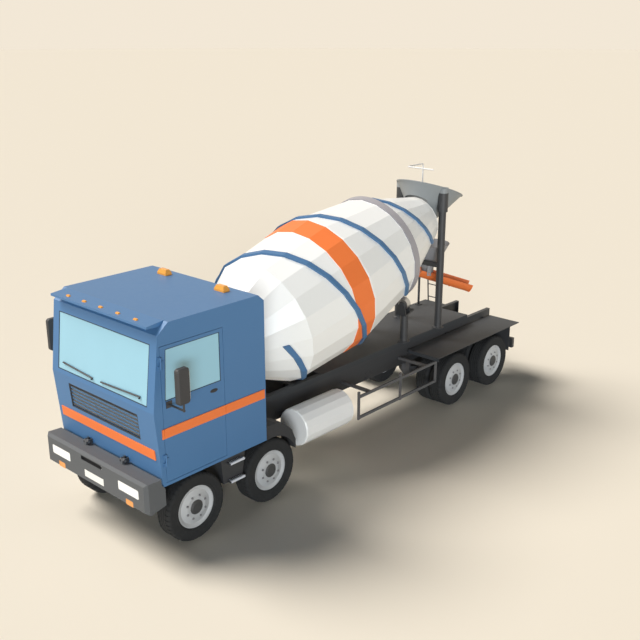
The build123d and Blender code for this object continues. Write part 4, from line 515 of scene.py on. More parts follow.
def woven_material(name, colour):
    """Seat cloth with a fine weave."""
    tree, shader = new_material(name, colour, Sheen_Weight=0.3)
    weave = tree.nodes.new("ShaderNodeTexChecker")
    weave.inputs["Scale"].default_value = 260.0
    tree.links.new(object_coords(tree), weave.inputs["Vector"])
    film = place_group(tree, surface_film_group(), Colour=colour, Mottle=0.2, Dust=0.0,
                       Roughness=0.85, Grain_Scale=220.0)
    threads = mix_colour(tree, product(tree, weave.outputs["Fac"], 0.25), film.outputs["Colour"],
                         (0.10, 0.10, 0.11))
    tree.links.new(threads, shader.inputs["Base Color"])
    tree.links.new(film.outputs["Roughness"], shader.inputs["Roughness"])
    bump_into(tree, shader, weave.outputs["Fac"], 0.0006)


def drum_material(name, colour):
    """Drum paint with cement splashes that thicken towards the mouth."""
    tree, shader = new_material(name, colour, Coat_Weight=0.15)
    film = place_group(tree, surface_film_group(), Colour=tuple(colour), Mottle=0.05, Dust=0.05,
                       Dust_Height=2.4, Roughness=0.42, Grain_Scale=60.0)
    spots = map_range(tree, noise_node(tree, object_coords(tree), 7.0, 6.0, 0.7), 0.55, 0.72, 0.0, 0.35)
    cement = product(tree, spots, map_range(tree, object_axis(tree, "X"), *DRUM_SPLASH, 1.0, 0.0))
    splashed = mix_colour(tree, cement, film.outputs["Colour"], (0.56, 0.54, 0.50))
    rough = math_node(tree, "MULTIPLY_ADD", cement, 0.4, film.outputs["Roughness"])
    tree.links.new(splashed, shader.inputs["Base Color"])
    tree.links.new(rough, shader.inputs["Roughness"])
    bump_into(tree, shader, math_node(tree, "ADD", film.outputs["Height"], cement), 0.0008)


# ------------------------------------------------------------------ finishes
def make_paints(paint):
    """Makes the painted finishes from the colour settings."""
    dark = paint.frame_grey
    drum_material("drum_paint", paint.drum_white)
    film_material("cab_paint", paint.cab_blue, 0.42, mask=tilt_arm_mask, second=dark,
                  Specular_IOR_Level=0.3)
    film_material("door_paint", paint.cab_blue, 0.42, mask=door_stripe_mask,
                  second=paint.stripe_orange, Specular_IOR_Level=0.3)
    film_material("stripe_paint", paint.stripe_orange, Specular_IOR_Level=0.25)
    film_material("chute_paint", tuple(0.88 * channel for channel in paint.stripe_orange), 0.5,
                  mottle=0.16, dust=0.12, dust_height=3.2, Specular_IOR_Level=0.25)
    film_material("rib_paint", paint.rib_blue, dust=0.05, Specular_IOR_Level=0.3)
    film_material("frame_paint", dark, 0.55, mottle=0.14, dust=0.04)
    film_material("deck_paint", (0.030, 0.034, 0.040), 0.6, mottle=0.12, dust=0.02, dust_height=2.2,
                  bump=0.0008)
    film_material("guard_paint", (0.10, 0.10, 0.105), 0.5, mottle=0.12)
    film_material("post_paint", tuple(0.95 * channel for channel in dark), 0.5, mottle=0.1, dust=0.05)
    film_material("rim_paint", (0.53, 0.545, 0.56), dust=0.04, dust_height=1.4, Metallic=0.1)
    film_material("pipe_enamel", (0.80, 0.79, 0.77), 0.4, dust=0.0)
    film_material("plate_enamel", (0.90, 0.90, 0.86), 0.4, mottle=0.03, dust=0.03)


def make_metals(paint):
    """Makes the sheet, steel and cast finishes."""
    film_material("hopper_sheet", (0.25, 0.27, 0.28), 0.5, mottle=0.12, dust=0.0,
                  mask=post_sleeve_mask, second=paint.frame_grey)
    film_material("rim_sheet", (0.25, 0.27, 0.28), 0.5, mottle=0.12, dust=0.0)
    film_material("collector_sheet", (0.25, 0.25, 0.26), 0.5, mottle=0.14, dust=0.0)
    film_material("tank_shell", (0.94, 0.94, 0.925), 0.38, mottle=0.04, dust=0.02, dust_height=0.9)
    film_material("track_steel", (0.36, 0.35, 0.38), 0.5, mottle=0.12, dust=0.0, Metallic=0.25)
    film_material("nut_steel", (0.27, 0.27, 0.28), mottle=0.1, dust=0.04, Metallic=0.2)
    film_material("tread_plate", (0.78, 0.81, 0.88), 0.4, mottle=0.1, dust=0.02, Metallic=0.15)
    film_material("hub_iron", (0.050, 0.052, 0.054), 0.5, mottle=0.16, dust=0.04)
    film_material("cast_iron", (0.050, 0.050, 0.054), 0.65, mottle=0.3, dust=0.08, grain=60.0,
                  bump=0.0015)
    metal_material("roller_steel", (0.50, 0.50, 0.50))
    metal_material("mirror", (0.86, 0.88, 0.90), 0.02, 0.06, 12.0)


def make_moulded(paint):
    """Makes the plastic, rubber, cloth, glass and lens finishes."""
    # the walls of the towing slot get a near-black painted shade, darker than the bumper's own grey
    film_material("bumper_mould", paint.bumper_grey, 0.6, mottle=0.08, dust=0.04, mask=slot_painted_shade_mask,
                  second=(0.022, 0.022, 0.024), grain=260.0, bump=0.0006, Specular_IOR_Level=0.3)
    film_material("dark_mould", (0.040, 0.040, 0.043), 0.6, mottle=0.1, dust=0.03, grain=260.0,
                  bump=0.0006)
    # behind the slats, a blue lighter than the cab blue: painted light that offsets the shade in the
    # grille's recess
    film_material("grille_mould", (0.034, 0.036, 0.038), 0.6, mottle=0.1, dust=0.0,
                  mask=grille_back_blue_and_painted_light_mask, second=(0.16, 0.32, 0.52), grain=200.0)
    # the window rubbers' blue-black is partly the rubber's own colour and partly painted shade of the
    # glass recess
    film_material("seal_rubber_and_painted_shade", (0.030, 0.055, 0.085), 0.7, mottle=0.1, dust=0.0)
    film_material("tread_rubber", (0.026, 0.027, 0.028), 0.9, mottle=0.22, dust=0.03,
                  dust_height=1.6, grain=120.0, bump=0.0012, Specular_IOR_Level=0.2)
    film_material("flap_rubber", (0.030, 0.031, 0.034), 0.8, mottle=0.2)
    woven_material("seat_cloth", (0.06, 0.062, 0.07))
    glass_material("glass", paint.glass_tint, 0.93)
    lens_material("front_lens", (0.93, 0.93, 0.90), 0.10, indicator_mask, (0.80, 0.29, 0.030))
    lens_material("amber_lens", (0.86, 0.36, 0.05), 0.06)
    lens_material("red_lens", (0.55, 0.03, 0.02), 0.12)


NODE_FINISH = {
    "cab_paint": ("cab_shell",),
    "door_paint": ("door_left", "door_right"),
    "stripe_paint": ("cab_stripes", "drum_band"),
    "chute_paint": ("chute",),
    "drum_paint": ("drum_shell",),
    "rib_paint": ("drum_ribs",),
    "frame_paint": ("chassis_frame", "rear_bar", "rear_ladder", "steps", "drum_pedestal"),
    "deck_paint": ("subframe", "rear_fenders"),
    "guard_paint": ("side_guards",),
    "post_paint": ("rear_posts", "deck_columns"),
    "track_steel": ("drum_track",),
    "roller_steel": ("roller_left", "roller_right"),
    "hopper_sheet": ("hopper",),
    "collector_sheet": ("collector", "chute_yoke"),
    "pipe_enamel": ("water_pipe",),
    "tank_shell": ("fuel_tanks",),
    "bumper_mould": ("bumper",),
    "dark_mould": ("mirror_left", "mirror_right"),
    "flap_rubber": ("mudguards",),
    "grille_mould": ("grille",),
    "glass": ("windscreen", "door_glass_left", "door_glass_right"),
    "front_lens": ("front_lamps",),
    "amber_lens": ("roof_lamps",),
    "seat_cloth": ("cab_interior",),
    "cast_iron": ("engine", "front_axles", "rear_axles", "knuckle_1_left", "knuckle_1_right",
                  "knuckle_2_left", "knuckle_2_right"),
    "rim_paint": tuple(f"rim_{label}" for label in WHEELS),
    "tread_rubber": tuple(f"tyre_{label}" for label in WHEELS),
}


# ------------------------------------------------------------------ mesh helpers
BOLT_SINK = 0.001
SHANK_RISE = 0.004


def around(count, start=0.0):
    """Cosine and sine of angles spread evenly round a circle."""
    for number in range(count):
        angle = start + 2 * math.pi * number / count
        yield math.cos(angle), math.sin(angle)


def verts_of(geometry):
    """The vertices among what an operator returns."""
    return [item for item in geometry if isinstance(item, bmesh.types.BMVert)]


def add_box(bm, size, place, bevel):
    """A box of a size at a place, its edges broken by a bevel."""
    corners = bmesh.ops.create_cube(bm, size=1.0)["verts"]
    bmesh.ops.scale(bm, vec=size, verts=corners)
    edges = list(dict.fromkeys(edge for corner in corners for edge in corner.link_edges))
    rounded = bmesh.ops.bevel(bm, geom=edges, offset=bevel, offset_type="OFFSET", segments=2,
                              profile=0.5, affect="EDGES", material=-1)["verts"]
    bmesh.ops.translate(bm, vec=place, verts=rounded)


def add_rod(bm, start, end, radius, sides, end_radius=None):
    """A round bar between two points, thinner at its end if a second radius is given."""
    run = end - start
    turn = UP.rotation_difference(run).to_matrix().to_4x4()
    bmesh.ops.create_cone(
        bm, cap_ends=True, segments=sides, radius1=radius,
        radius2=radius if end_radius is None else end_radius, depth=run.length,
        matrix=Matrix.Translation((start + end) / 2) @ turn)


def add_bolt(bm, place, direction, across, height):
    """A hexagon head standing on a face, with the end of its shank."""
    top = place + direction * height
    add_rod(bm, place - direction * BOLT_SINK, top, across / 2, 6)
    add_rod(bm, top - direction * 2 * BOLT_SINK, top + direction * SHANK_RISE, across / 4, 8)


def add_turned(bm, profile, origin, axis, up, steps):
    """Turns a closed profile of (radius, distance along the axis) points right round an axis."""
    verts = [bm.verts.new(origin + up * radius + axis * station) for radius, station in profile]
    edges = [bm.edges.new(pair) for pair in zip(verts, verts[1:] + verts[:1])]
    bmesh.ops.spin(bm, geom=verts + edges, cent=origin, axis=axis, dvec=(0, 0, 0),
                   angle=2 * math.pi, steps=steps, use_merge=True, use_duplicate=False)


def add_ring_frame(bm, corners, width, depth, matrix):
    """A flat frame inside the corners, given a depth against its face."""
    face = bm.faces.new([bm.verts.new(matrix @ Vector((a, b, 0.0))) for a, b in corners])
    bm.normal_update()
    ring = bmesh.ops.inset_region(bm, faces=[face], thickness=width, use_even_offset=True,
                                  use_boundary=True)["faces"]
    bmesh.ops.delete(bm, geom=[face], context="FACES")
    grown = bmesh.ops.extrude_face_region(bm, geom=ring, use_keep_orig=True)["geom"]
    bmesh.ops.translate(bm, vec=matrix.to_3x3() @ UP * depth, verts=verts_of(grown))


def finish_piece(bm, name, finish, body, replaces=(), smooth=0.0):
    """Closes a mesh into a named piece that rides on a body."""
    if not bm.faces:
        raise RuntimeError(f"{name} has no faces")
    bmesh.ops.remove_doubles(bm, verts=bm.verts, dist=1e-6)
    bmesh.ops.recalc_face_normals(bm, faces=bm.faces)
    mesh = bpy.data.meshes.new(name)
    bm.to_mesh(mesh)
    bm.free()
    piece = bpy.data.objects.new(name, mesh)
    bpy.context.scene.collection.objects.link(piece)
    mesh.materials.append(MATERIALS[finish])
    if smooth:
        mesh.polygons.foreach_set("use_smooth", [True] * len(mesh.polygons))
        mesh.set_sharp_from_angle(angle=math.radians(smooth))
    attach(piece, body)
    if replaces:
        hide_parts(*replaces)


def wheel_places():
    """Label, side and middle of the outer tyre of each wheel."""
    for label in WHEELS:
        low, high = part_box(f"rim_{label}")
        side = 1 if label.endswith("left") else -1
        yield label, side, Vector(((low.x + high.x) / 2, side * TRACK_HALF, TYRE_RADIUS))


def up_screen(height):
    """Distance up the windscreen's plane, from the crease, of a height above the ground."""
    return (height - CREASE.z) * BROW_SCALE


# ------------------------------------------------------------------ operators
class MIXER_OT_finishes(Operator):
    """Makes the finishes and puts them on the carried-over nodes"""

    bl_idname = "mixer.finishes"
    bl_label = "Finishes"

    def execute(self, context):
        paint = context.scene.mixer_paint
        make_paints(paint)
        make_metals(paint)
        make_moulded(paint)
        for finish, names in NODE_FINISH.items():
            for name in names:
                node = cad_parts[name]
                if not node.material_slots:
                    node.data.materials.append(MATERIALS[finish])
                for slot in node.material_slots:
                    slot.material = MATERIALS[finish]
        left = set(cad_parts) - {name for names in NODE_FINISH.values() for name in names}
        if left:
            raise RuntimeError(f"nodes without a finish: {sorted(left)}")
        return {"FINISHED"}


TYRE_PROFILE = (
    # radius, distance from the tyre's middle plane
    (BEAD_RADIUS, 0.116),
    (0.336, 0.128),
    (0.352, 0.134),
    (0.360, 0.1385),
    (0.372, 0.1385),
    (0.377, 0.1360),
    (0.410, 0.1395),
    (0.455, 0.1375),
    (0.470, 0.1398),
    (0.492, 0.1398),
    (0.506, 0.1330),
    (0.520, 0.1180),
    (TYRE_RADIUS, 0.1080),
)
TYRE_GROOVES = (-0.066, -0.022, 0.022, 0.066)
GROOVE_HALF = 0.0055
GROOVE_TAPER = 0.002
LUG_EVERY = 4  # steps of the turning from one cut to the next
LUG_INNER = 0.497
LUG_SINK = (0.981, 0.999, 0.981)  # scale that takes a cut towards the axle


def tyre_outline(groove_depth):
    """Closed outline of a tyre, from one bead over the grooves to the other."""
    floor = TYRE_RADIUS - groove_depth
    outline = [(radius, -out) for radius, out in TYRE_PROFILE]
    for groove in TYRE_GROOVES:
        low, high = groove - GROOVE_HALF, groove + GROOVE_HALF
        outline += [(TYRE_RADIUS, low), (floor, low + GROOVE_TAPER),
                    (floor, high - GROOVE_TAPER), (TYRE_RADIUS, high)]
    return outline + list(reversed(TYRE_PROFILE))


def cut_lugs(bm, steps):
    """Sinks every few steps of the shoulders, which leaves lugs between the cuts."""
    step = 2 * math.pi / steps
    cuts = []
    for face in bm.faces:
        centre = face.calc_center_median()
        turn = int((math.atan2(centre.x, centre.z) % (2 * math.pi)) / step)
        on_shoulder = abs(centre.y) > TYRE_GROOVES[-1] + GROOVE_HALF
        if turn % LUG_EVERY == 0 and on_shoulder and math.hypot(centre.x, centre.z) > LUG_INNER:
            cuts.append(face)
    grown = bmesh.ops.extrude_face_region(bm, geom=cuts)["geom"]
    bmesh.ops.scale(bm, vec=LUG_SINK, space=Matrix.Identity(4), verts=verts_of(grown))
    bmesh.ops.delete(bm, geom=[face for face in cuts if face.is_valid], context="FACES")


class MIXER_OT_tyres(Operator):
    """Turns the tyres with their grooves and cuts the shoulder lugs"""

    bl_idname = "mixer.tyres"
    bl_label = "Tyres"

    def execute(self, context):
        sizes = context.scene.mixer_size
        bm = bmesh.new()
        add_turned(bm, tyre_outline(sizes.groove_depth), Vector(), ACROSS, UP, sizes.tyre_steps)
        cut_lugs(bm, sizes.tyre_steps)
        pattern = bpy.data.meshes.new("tyre_pattern")
        bm.to_mesh(pattern)
        bm.free()
        for label, side, centre in wheel_places():
            bm = bmesh.new()
            for inward in (0.0, TWIN_STEP) if label[0] in TWIN_AXLES else (0.0,):
                before = set(bm.verts)
                bm.from_mesh(pattern)
                fresh = [vert for vert in bm.verts if vert not in before]
                bmesh.ops.translate(bm, vec=centre - ACROSS * side * inward, verts=fresh)
            finish_piece(bm, f"tread_tyre_{label}", "tread_rubber", f"wheel_{label}",
                         (f"tyre_{label}",), smooth=28)
        bpy.data.meshes.remove(pattern)
        return {"FINISHED"}


HUB_PROFILE = (
    # radius, distance out from the hub's face
    (0.113, -0.002),
    (0.113, 0.004),
    (0.108, 0.010),
    (0.097, 0.0155),
    (0.090, 0.0155),
    (0.084, 0.0205),
    (0.050, 0.0225),
    (0.0, 0.0230),
    (0.0, -0.002),
)
HUB_BOLT_CIRCLE = 0.070
HUB_BOLT_RADIUS = 0.006
HUB_BOLT_ENDS = (0.020, 0.026)  # out from the hub's face
NUT_SEAT = -0.005
NUT_STACK = (
    # radius, sides, inner and outer end from the seat: washer, nut and stud
    (0.019, 16, 0.0, 0.005),
    (0.0155, 6, 0.004, 0.017),
    (0.009, 10, 0.016, 0.021),
)


class MIXER_OT_hubs(Operator):
    """Adds the domed hub caps and, as pieces of their own, the rings of wheel nuts"""

    bl_idname = "mixer.hubs"
    bl_label = "Hub caps and nuts"

    def execute(self, context):
        sizes = context.scene.mixer_size
        for label, side, centre in wheel_places():
            out = ACROSS * side
            face = centre + out * HUB_FACE
            bm = bmesh.new()
            add_turned(bm, HUB_PROFILE, face, out, UP, 32)
            for run, rise in around(6):
                spot = face + (ALONG * run + UP * rise) * HUB_BOLT_CIRCLE
                foot, head = (spot + out * shift for shift in HUB_BOLT_ENDS)
                add_rod(bm, foot, head, HUB_BOLT_RADIUS, 6)
            finish_piece(bm, f"hub_{label}", "hub_iron", f"wheel_{label}", smooth=30)

            bm = bmesh.new()
            for run, rise in around(sizes.nut_count, math.pi / sizes.nut_count):
                seat = face + out * NUT_SEAT + (ALONG * run + UP * rise) * sizes.nut_circle
                for radius, edges, inner, outer in NUT_STACK:
                    add_rod(bm, seat + out * inner, seat + out * outer, radius, edges)
            finish_piece(bm, f"nuts_{label}", "nut_steel", f"wheel_{label}", smooth=30)
        return {"FINISHED"}


SEAL_LIFT = 0.0002  # over the glass
SEAL_DEPTH = 0.0045
DOOR_SEAL_SHARE = 0.8  # of the windscreen rubber's width


class MIXER_OT_seals(Operator):
    """Adds the rubbers round the windscreen and the door windows, whose blue-black is partly the rubber
    and partly a painted shade of the glass recess
    """

    bl_idname = "mixer.seals"
    bl_label = "Window rubbers"

    def execute(self, context):
        width = context.scene.mixer_size.seal_width
        low, high = up_screen(SCREEN_LOW), up_screen(SCREEN_HIGH)
        corners = ((-SCREEN_HALF, low), (SCREEN_HALF, low), (SCREEN_HALF, high), (-SCREEN_HALF, high))
        bm = bmesh.new()
        add_ring_frame(bm, corners, width, SEAL_DEPTH,
                       BROW @ Matrix.Translation((0, 0, SEAL_LIFT - GLASS_RECESS)))
        finish_piece(bm, "windscreen_rubber_and_shade", "seal_rubber_and_painted_shade", "cab")
        for label, side in SIDES:
            bm = bmesh.new()
            door = Matrix((
                (1, 0, 0, 0),
                (0, 0, side, side * (CAB_HALF - GLASS_RECESS + SEAL_LIFT)),
                (0, 1, 0, 0),
                (0, 0, 0, 1),
            ))
            add_ring_frame(bm, DOOR_WINDOW, width * DOOR_SEAL_SHARE, SEAL_DEPTH, door)
            finish_piece(bm, f"door_window_rubber_and_shade_{label}", "seal_rubber_and_painted_shade", f"{label}_door")
        return {"FINISHED"}


WIPERS = (
    # name, lower and upper end of the blade and the pivot, as (across, height)
    ("wiper_right", (-0.182, 2.374), (-0.939, 2.421), (-0.205, 2.352)),
    ("wiper_left", (0.934, 2.407), (0.021, 2.372), (0.912, 2.384)),
)
BLADE_PARTS = (
    # distance out from the windscreen's plane, radius, sides: the bow and the rubber lip
    (0.007, 0.012, 10),
    (-0.0035, 0.0022, 6),
)
ARM_OUT = 0.016
ARM_RADIUS = 0.007
ARM_TIP_RADIUS = 0.005
ARM_REACH = 0.45  # share of the blade that the arm covers
PIVOT_ENDS = (-0.006, 0.018)
PIVOT_ARM_OUT = 0.012  # where the arm leaves the pivot


class MIXER_OT_wipers(Operator):
    """Adds the windscreen wipers with their arms"""

    bl_idname = "mixer.wipers"
    bl_label = "Wipers"

    def execute(self, context):
        def spot(across, height, out):
            return BROW @ Vector((across, up_screen(height), out))

        for name, low_end, high_end, pivot in WIPERS:
            elbow = spot(*low_end, ARM_OUT)
            tip = spot(*Vector(low_end).lerp(Vector(high_end), ARM_REACH), ARM_OUT)
            foot, cap = (spot(*pivot, out) for out in PIVOT_ENDS)
            bm = bmesh.new()
            for out, radius, edges in BLADE_PARTS:
                add_rod(bm, spot(*low_end, out), spot(*high_end, out), radius, edges)
            add_rod(bm, spot(*pivot, PIVOT_ARM_OUT), elbow, ARM_RADIUS, 8)
            add_rod(bm, elbow, tip, ARM_RADIUS, 8, ARM_TIP_RADIUS)
            add_rod(bm, foot, cap, 0.013, 16, 0.010)
            finish_piece(bm, name, "dark_mould", "cab", smooth=40)
        return {"FINISHED"}


HANDLE_CUP = (
    # radius, distance out from the door
    (0.070, -0.002),
    (0.070, 0.003),
    (0.0651, 0.006),
    (0.0588, 0.006),
    (0.056, 0.0025),
    (0.0, 0.0025),
    (0.0, -0.002),
)
HANDLE_OVAL = (1.0, 1.0, 0.40)
HANDLE_BAR = (0.100, 0.006, 0.016)
HANDLE_BAR_OUT = 0.009
LOCK_SHIFT = 0.044
LOCK_RADIUS = 0.006
LOCK_OUT = 0.008
MIRROR_GLASS = (0.004, 0.052, 0.400)
MIRROR_GLASS_BACK = 0.001  # its middle behind the mirror's rear face


class MIXER_OT_door_fittings(Operator):
    """Adds the door handles in their oval cups and the mirror glass"""

    bl_idname = "mixer.door_fittings"
    bl_label = "Handles and mirror glass"

    def execute(self, context):
        for label, side in SIDES:
            out = ACROSS * side
            centre = Vector((HANDLE_X, side * CAB_HALF, HANDLE_HEIGHT))
            lock = centre + ALONG * LOCK_SHIFT
            bm = bmesh.new()
            add_turned(bm, HANDLE_CUP, centre, out, UP, 28)
            bmesh.ops.scale(bm, vec=HANDLE_OVAL, space=Matrix.Translation(-centre), verts=bm.verts)
            add_box(bm, HANDLE_BAR, centre + out * HANDLE_BAR_OUT, 0.0025)
            add_rod(bm, lock, lock + out * LOCK_OUT, LOCK_RADIUS, 10)
            finish_piece(bm, f"door_handle_{label}", "dark_mould", f"{label}_door", smooth=35)

            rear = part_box(f"mirror_{label}")[0].x - MIRROR_GLASS_BACK
            bm = bmesh.new()
            add_box(bm, MIRROR_GLASS, (rear, side * MIRROR_GLASS_HALF, MIRROR_GLASS_HEIGHT), 0.0015)
            finish_piece(bm, f"mirror_glass_{label}", "mirror", f"{label}_door")
        return {"FINISHED"}


PLATES = (
    # name, direction it faces, x of the face behind it, height of its middle, thickness, tallest
    ("front_plate", 1, PLATE_GROUND, 0.945, 0.004, 0.200),
    ("rear_plate", -1, REAR_BAR_FACE, 0.645, 0.003, 0.100),
)
SCREW_HALF = 0.18
SCREW_RADIUS = 0.008
SCREW_ENDS = (-0.001, 0.0005)  # out from the plate's face


class MIXER_OT_plates(Operator):
    """Adds the blank number plates with their screws"""

    bl_idname = "mixer.plates"
    bl_label = "Blank plates"

    def execute(self, context):
        sizes = context.scene.mixer_size
        for name, direction, face, height, thick, tallest in PLATES:
            out = ALONG * direction
            middle = Vector((face, 0, height))
            bm = bmesh.new()
            add_box(bm, (thick, sizes.plate_width, min(sizes.plate_height, tallest)),
                    middle + out * thick / 2, 0.001)
            for across in (-SCREW_HALF, SCREW_HALF):
                foot, head = (middle + out * (thick + shift) + ACROSS * across for shift in SCREW_ENDS)
                add_rod(bm, foot, head, SCREW_RADIUS, 12)
            finish_piece(bm, name, "plate_enamel", "chassis")
        return {"FINISHED"}


TOW_COLLAR = ((0.0105, 1.1415), (0.0155, 1.1415), (0.0155, 1.150), (0.0135, 1.152), (0.0105, 1.152))
TOW_KNOB = ((0.0105, 1.186), (0.0150, 1.188), (0.0160, 1.194), (0.0150, 1.200), (0.0105, 1.203))


class MIXER_OT_towing_pin(Operator):
    """Adds the collar and the pull knob of the towing pin in the bumper's slot"""

    bl_idname = "mixer.towing_pin"
    bl_label = "Towing pin"

    def execute(self, context):
        bm = bmesh.new()
        for profile in (TOW_COLLAR, TOW_KNOB):
            add_turned(bm, profile, TOW_PIN, UP, ACROSS, 20)
        finish_piece(bm, "towing_pin", "nut_steel", "chassis", smooth=35)
        return {"FINISHED"}


TREAD_RISE = 0.013  # top of a tread over its level
TREAD_MARGIN = 0.01  # bare at each end of a nosing
NOSINGS = (
    # width, height, out from the tread's edge, up from its top, bevel: the top and the front strip
    (0.030, 0.012, -0.017, 0.004, 0.003),
    (0.006, 0.030, 0.001, -0.010, 0.002),
)
STUD_ROWS = (0.045, 0.067)  # in from the tread's outer edge
STUD_COUNT = 9
STUD_STEP = 0.030
STUD_RADII = (0.007, 0.005)


class MIXER_OT_step_treads(Operator):
    """Adds the bright nosings and the studs on the step treads"""

    bl_idname = "mixer.step_treads"
    bl_label = "Step treads"

    def execute(self, context):
        length = STEP_FRONT - STEP_REAR - 2 * TREAD_MARGIN
        middle = (STEP_FRONT + STEP_REAR) / 2
        bm = bmesh.new()
        for _, side in SIDES:
            for level in STEP_LEVELS:
                top = level + TREAD_RISE
                for width, tall, out, rise, bevel in NOSINGS:
                    place = (middle, side * (STEP_HALF + out), top + rise)
                    add_box(bm, (length, width, tall), place, bevel)
                for inward in STUD_ROWS:
                    for stud in range(STUD_COUNT):
                        station = STEP_REAR + STUD_STEP * (stud + 1)
                        spot = Vector((station, side * (STEP_HALF - inward), top))
                        add_rod(bm, spot - UP * 0.002, spot + UP * 0.004, STUD_RADII[0], 8, STUD_RADII[1])
        finish_piece(bm, "step_treads", "tread_plate", "chassis")
        return {"FINISHED"}


RAIL_BOLT_SHIFTS = (-0.045, 0.045)
RAIL_BOLT_HEIGHTS = (0.935, 1.015)
FOOT_PROFILE = (
    # radius, height over the deck
    (0.066, 0.0),
    (0.118, 0.0),
    (0.118, 0.0122),
    (0.112, 0.0157),
    (0.090, 0.0157),
    (0.078, 0.0342),
    (0.066, 0.0342),
)
FOOT_BOLT_CIRCLE = 0.101
FOOT_BOLT_RISE = 0.0152
FOOT_BOLT_TURN = 0.3


class MIXER_OT_frame_bolts(Operator):
    """Adds the bolt heads on the side rails and the bolted feet of the posts and columns"""

    bl_idname = "mixer.frame_bolts"
    bl_label = "Rail bolts and feet"

    def execute(self, context):
        bm = bmesh.new()
        for _, side in SIDES:
            for station in CROSS_MEMBERS:
                for shift in RAIL_BOLT_SHIFTS:
                    for height in RAIL_BOLT_HEIGHTS:
                        place = Vector((station + shift, side * RAIL_HALF, height))
                        add_bolt(bm, place, ACROSS * side, 0.026, 0.011)
        finish_piece(bm, "rail_bolts", "hub_iron", "chassis")

        bm = bmesh.new()
        for station in (POST_X, COLUMN_X):
            for _, side in SIDES:
                foot = Vector((station, side * POST_HALF, DECK_TOP))
                add_turned(bm, FOOT_PROFILE, foot, UP, ALONG, 24)
                for run, out in around(6, FOOT_BOLT_TURN):
                    spot = foot + (ALONG * run + ACROSS * out) * FOOT_BOLT_CIRCLE + UP * FOOT_BOLT_RISE
                    add_bolt(bm, spot, UP, 0.018, 0.009)
        finish_piece(bm, "post_feet", "post_paint", "chassis", smooth=30)
        return {"FINISHED"}


SEAM_PROFILE = ((-0.004, -0.007), (0.003, 0.0), (-0.004, 0.007))  # over the drum's radius, along its axis
LIP_RADIUS = 0.010
LIP_INSET = 0.005


class MIXER_OT_drum_fittings(Operator):
    """Adds the weld seams round the drum and the rolled lip of its mouth"""

    bl_idname = "mixer.drum_fittings"
    bl_label = "Drum seams and lip"

    def execute(self, context):
        bm = bmesh.new()
        for station, radius in DRUM_SEAMS:
            profile = [(radius + rise, station + shift) for rise, shift in SEAM_PROFILE]
            add_turned(bm, profile, DRUM_CENTRE, DRUM_AXIS, DRUM_UP, DRUM_SIDES)
        finish_piece(bm, "drum_seams", "drum_paint", "drum")

        station, radius = DRUM_MOUTH
        middle = radius - LIP_INSET
        lip = [(middle + LIP_RADIUS * out, station + LIP_RADIUS * shift) for out, shift in around(8)]
        bm = bmesh.new()
        add_turned(bm, lip, DRUM_CENTRE, DRUM_AXIS, DRUM_UP, DRUM_SIDES)
        finish_piece(bm, "drum_mouth_lip", "drum_paint", "drum", smooth=30)
        return {"FINISHED"}


RIM_BEAD = 0.009
RIM_DROP = 0.006
POST_CAP = (
    # radius, height above the ground
    (0.0, 4.190),
    (0.0, 4.2005),
    (0.060, 4.198),
    (0.078, 4.194),
    (0.086, 4.184),
    (0.086, 4.176),
    (0.080, 4.176),
    (0.080, 4.190),
)


class MIXER_OT_hopper_fittings(Operator):
    """Adds the rolled rim of the hopper and the caps of its posts"""

    bl_idname = "mixer.hopper_fittings"
    bl_label = "Hopper rim and post caps"

    def execute(self, context):
        axis = Vector((-math.sin(HOPPER_TILT), 0, math.cos(HOPPER_TILT)))
        forward = Vector((math.cos(HOPPER_TILT), 0, math.sin(HOPPER_TILT)))
        rim = [(HOPPER_RADIUS + RIM_BEAD * out, RIM_BEAD * rise - RIM_DROP) for out, rise in around(8)]
        bm = bmesh.new()
        add_turned(bm, rim, HOPPER_CENTRE, axis, forward, 64)
        finish_piece(bm, "hopper_rim", "rim_sheet", "chassis", smooth=40)

        bm = bmesh.new()
        for _, side in SIDES:
            add_turned(bm, POST_CAP, Vector((POST_X, side * POST_HALF, 0)), UP, ALONG, 24)
        finish_piece(bm, "post_caps", "rim_sheet", "chassis", smooth=35)
        return {"FINISHED"}


HOOP_STATIONS = (0.100, 0.520, CHUTE_LENGTH - 0.008)
HOOP_SECTION = (
    # distance from the chute's axis, shift along it
    (CHUTE_RADIUS - 0.003, -0.010),
    (CHUTE_RADIUS + 0.007, -0.010),
    (CHUTE_RADIUS + 0.007, 0.010),
    (CHUTE_RADIUS - 0.003, 0.010),
)
EDGE_RADIUS = 0.008
EDGE_START = 0.060
EDGE_INSET = 0.004


class MIXER_OT_chute_fittings(Operator):
    """Adds the rolled edges and the hoops of the chute"""

    bl_idname = "mixer.chute_fittings"
    bl_label = "Chute edges and hoops"

    def execute(self, context):
        level = Vector((math.cos(CHUTE_HEADING), math.sin(CHUTE_HEADING), 0))
        along = level * math.cos(CHUTE_SLOPE) - UP * math.sin(CHUTE_SLOPE)
        across = UP.cross(level)
        rim = CHUTE_PIVOT + along.cross(across) * CHUTE_RIM_RISE
        bm = bmesh.new()
        for _, side in SIDES:
            edge = rim + across * side * (CHUTE_RADIUS - EDGE_INSET)
            add_rod(bm, edge + along * EDGE_START, edge + along * CHUTE_LENGTH, EDGE_RADIUS, 10)
        for station in HOOP_STATIONS:
            centre = rim + along * station
            corners = [bm.verts.new(centre + across * out + along * shift) for out, shift in HOOP_SECTION]
            section = bm.faces.new(corners)
            bmesh.ops.spin(bm, geom=[section], cent=centre, axis=along, dvec=(0, 0, 0),
                           angle=-math.pi, steps=16, use_merge=False, use_duplicate=True)
        finish_piece(bm, "chute_edges", "chute_paint", "discharge_chute", smooth=35)
        return {"FINISHED"}


CONTROL_BOX = (0.150, 0.100, 0.130)
CONTROL_BOX_RISE = 0.060  # its middle over the stand
LEVER_SHIFTS = (-0.045, 0.0, 0.045)
LEVER_FOOT_RISE = 0.120
LEVER = Vector((0, 0.012, 0.110))
LEVER_RADIUS = 0.006
KNOB_RADIUS = 0.014


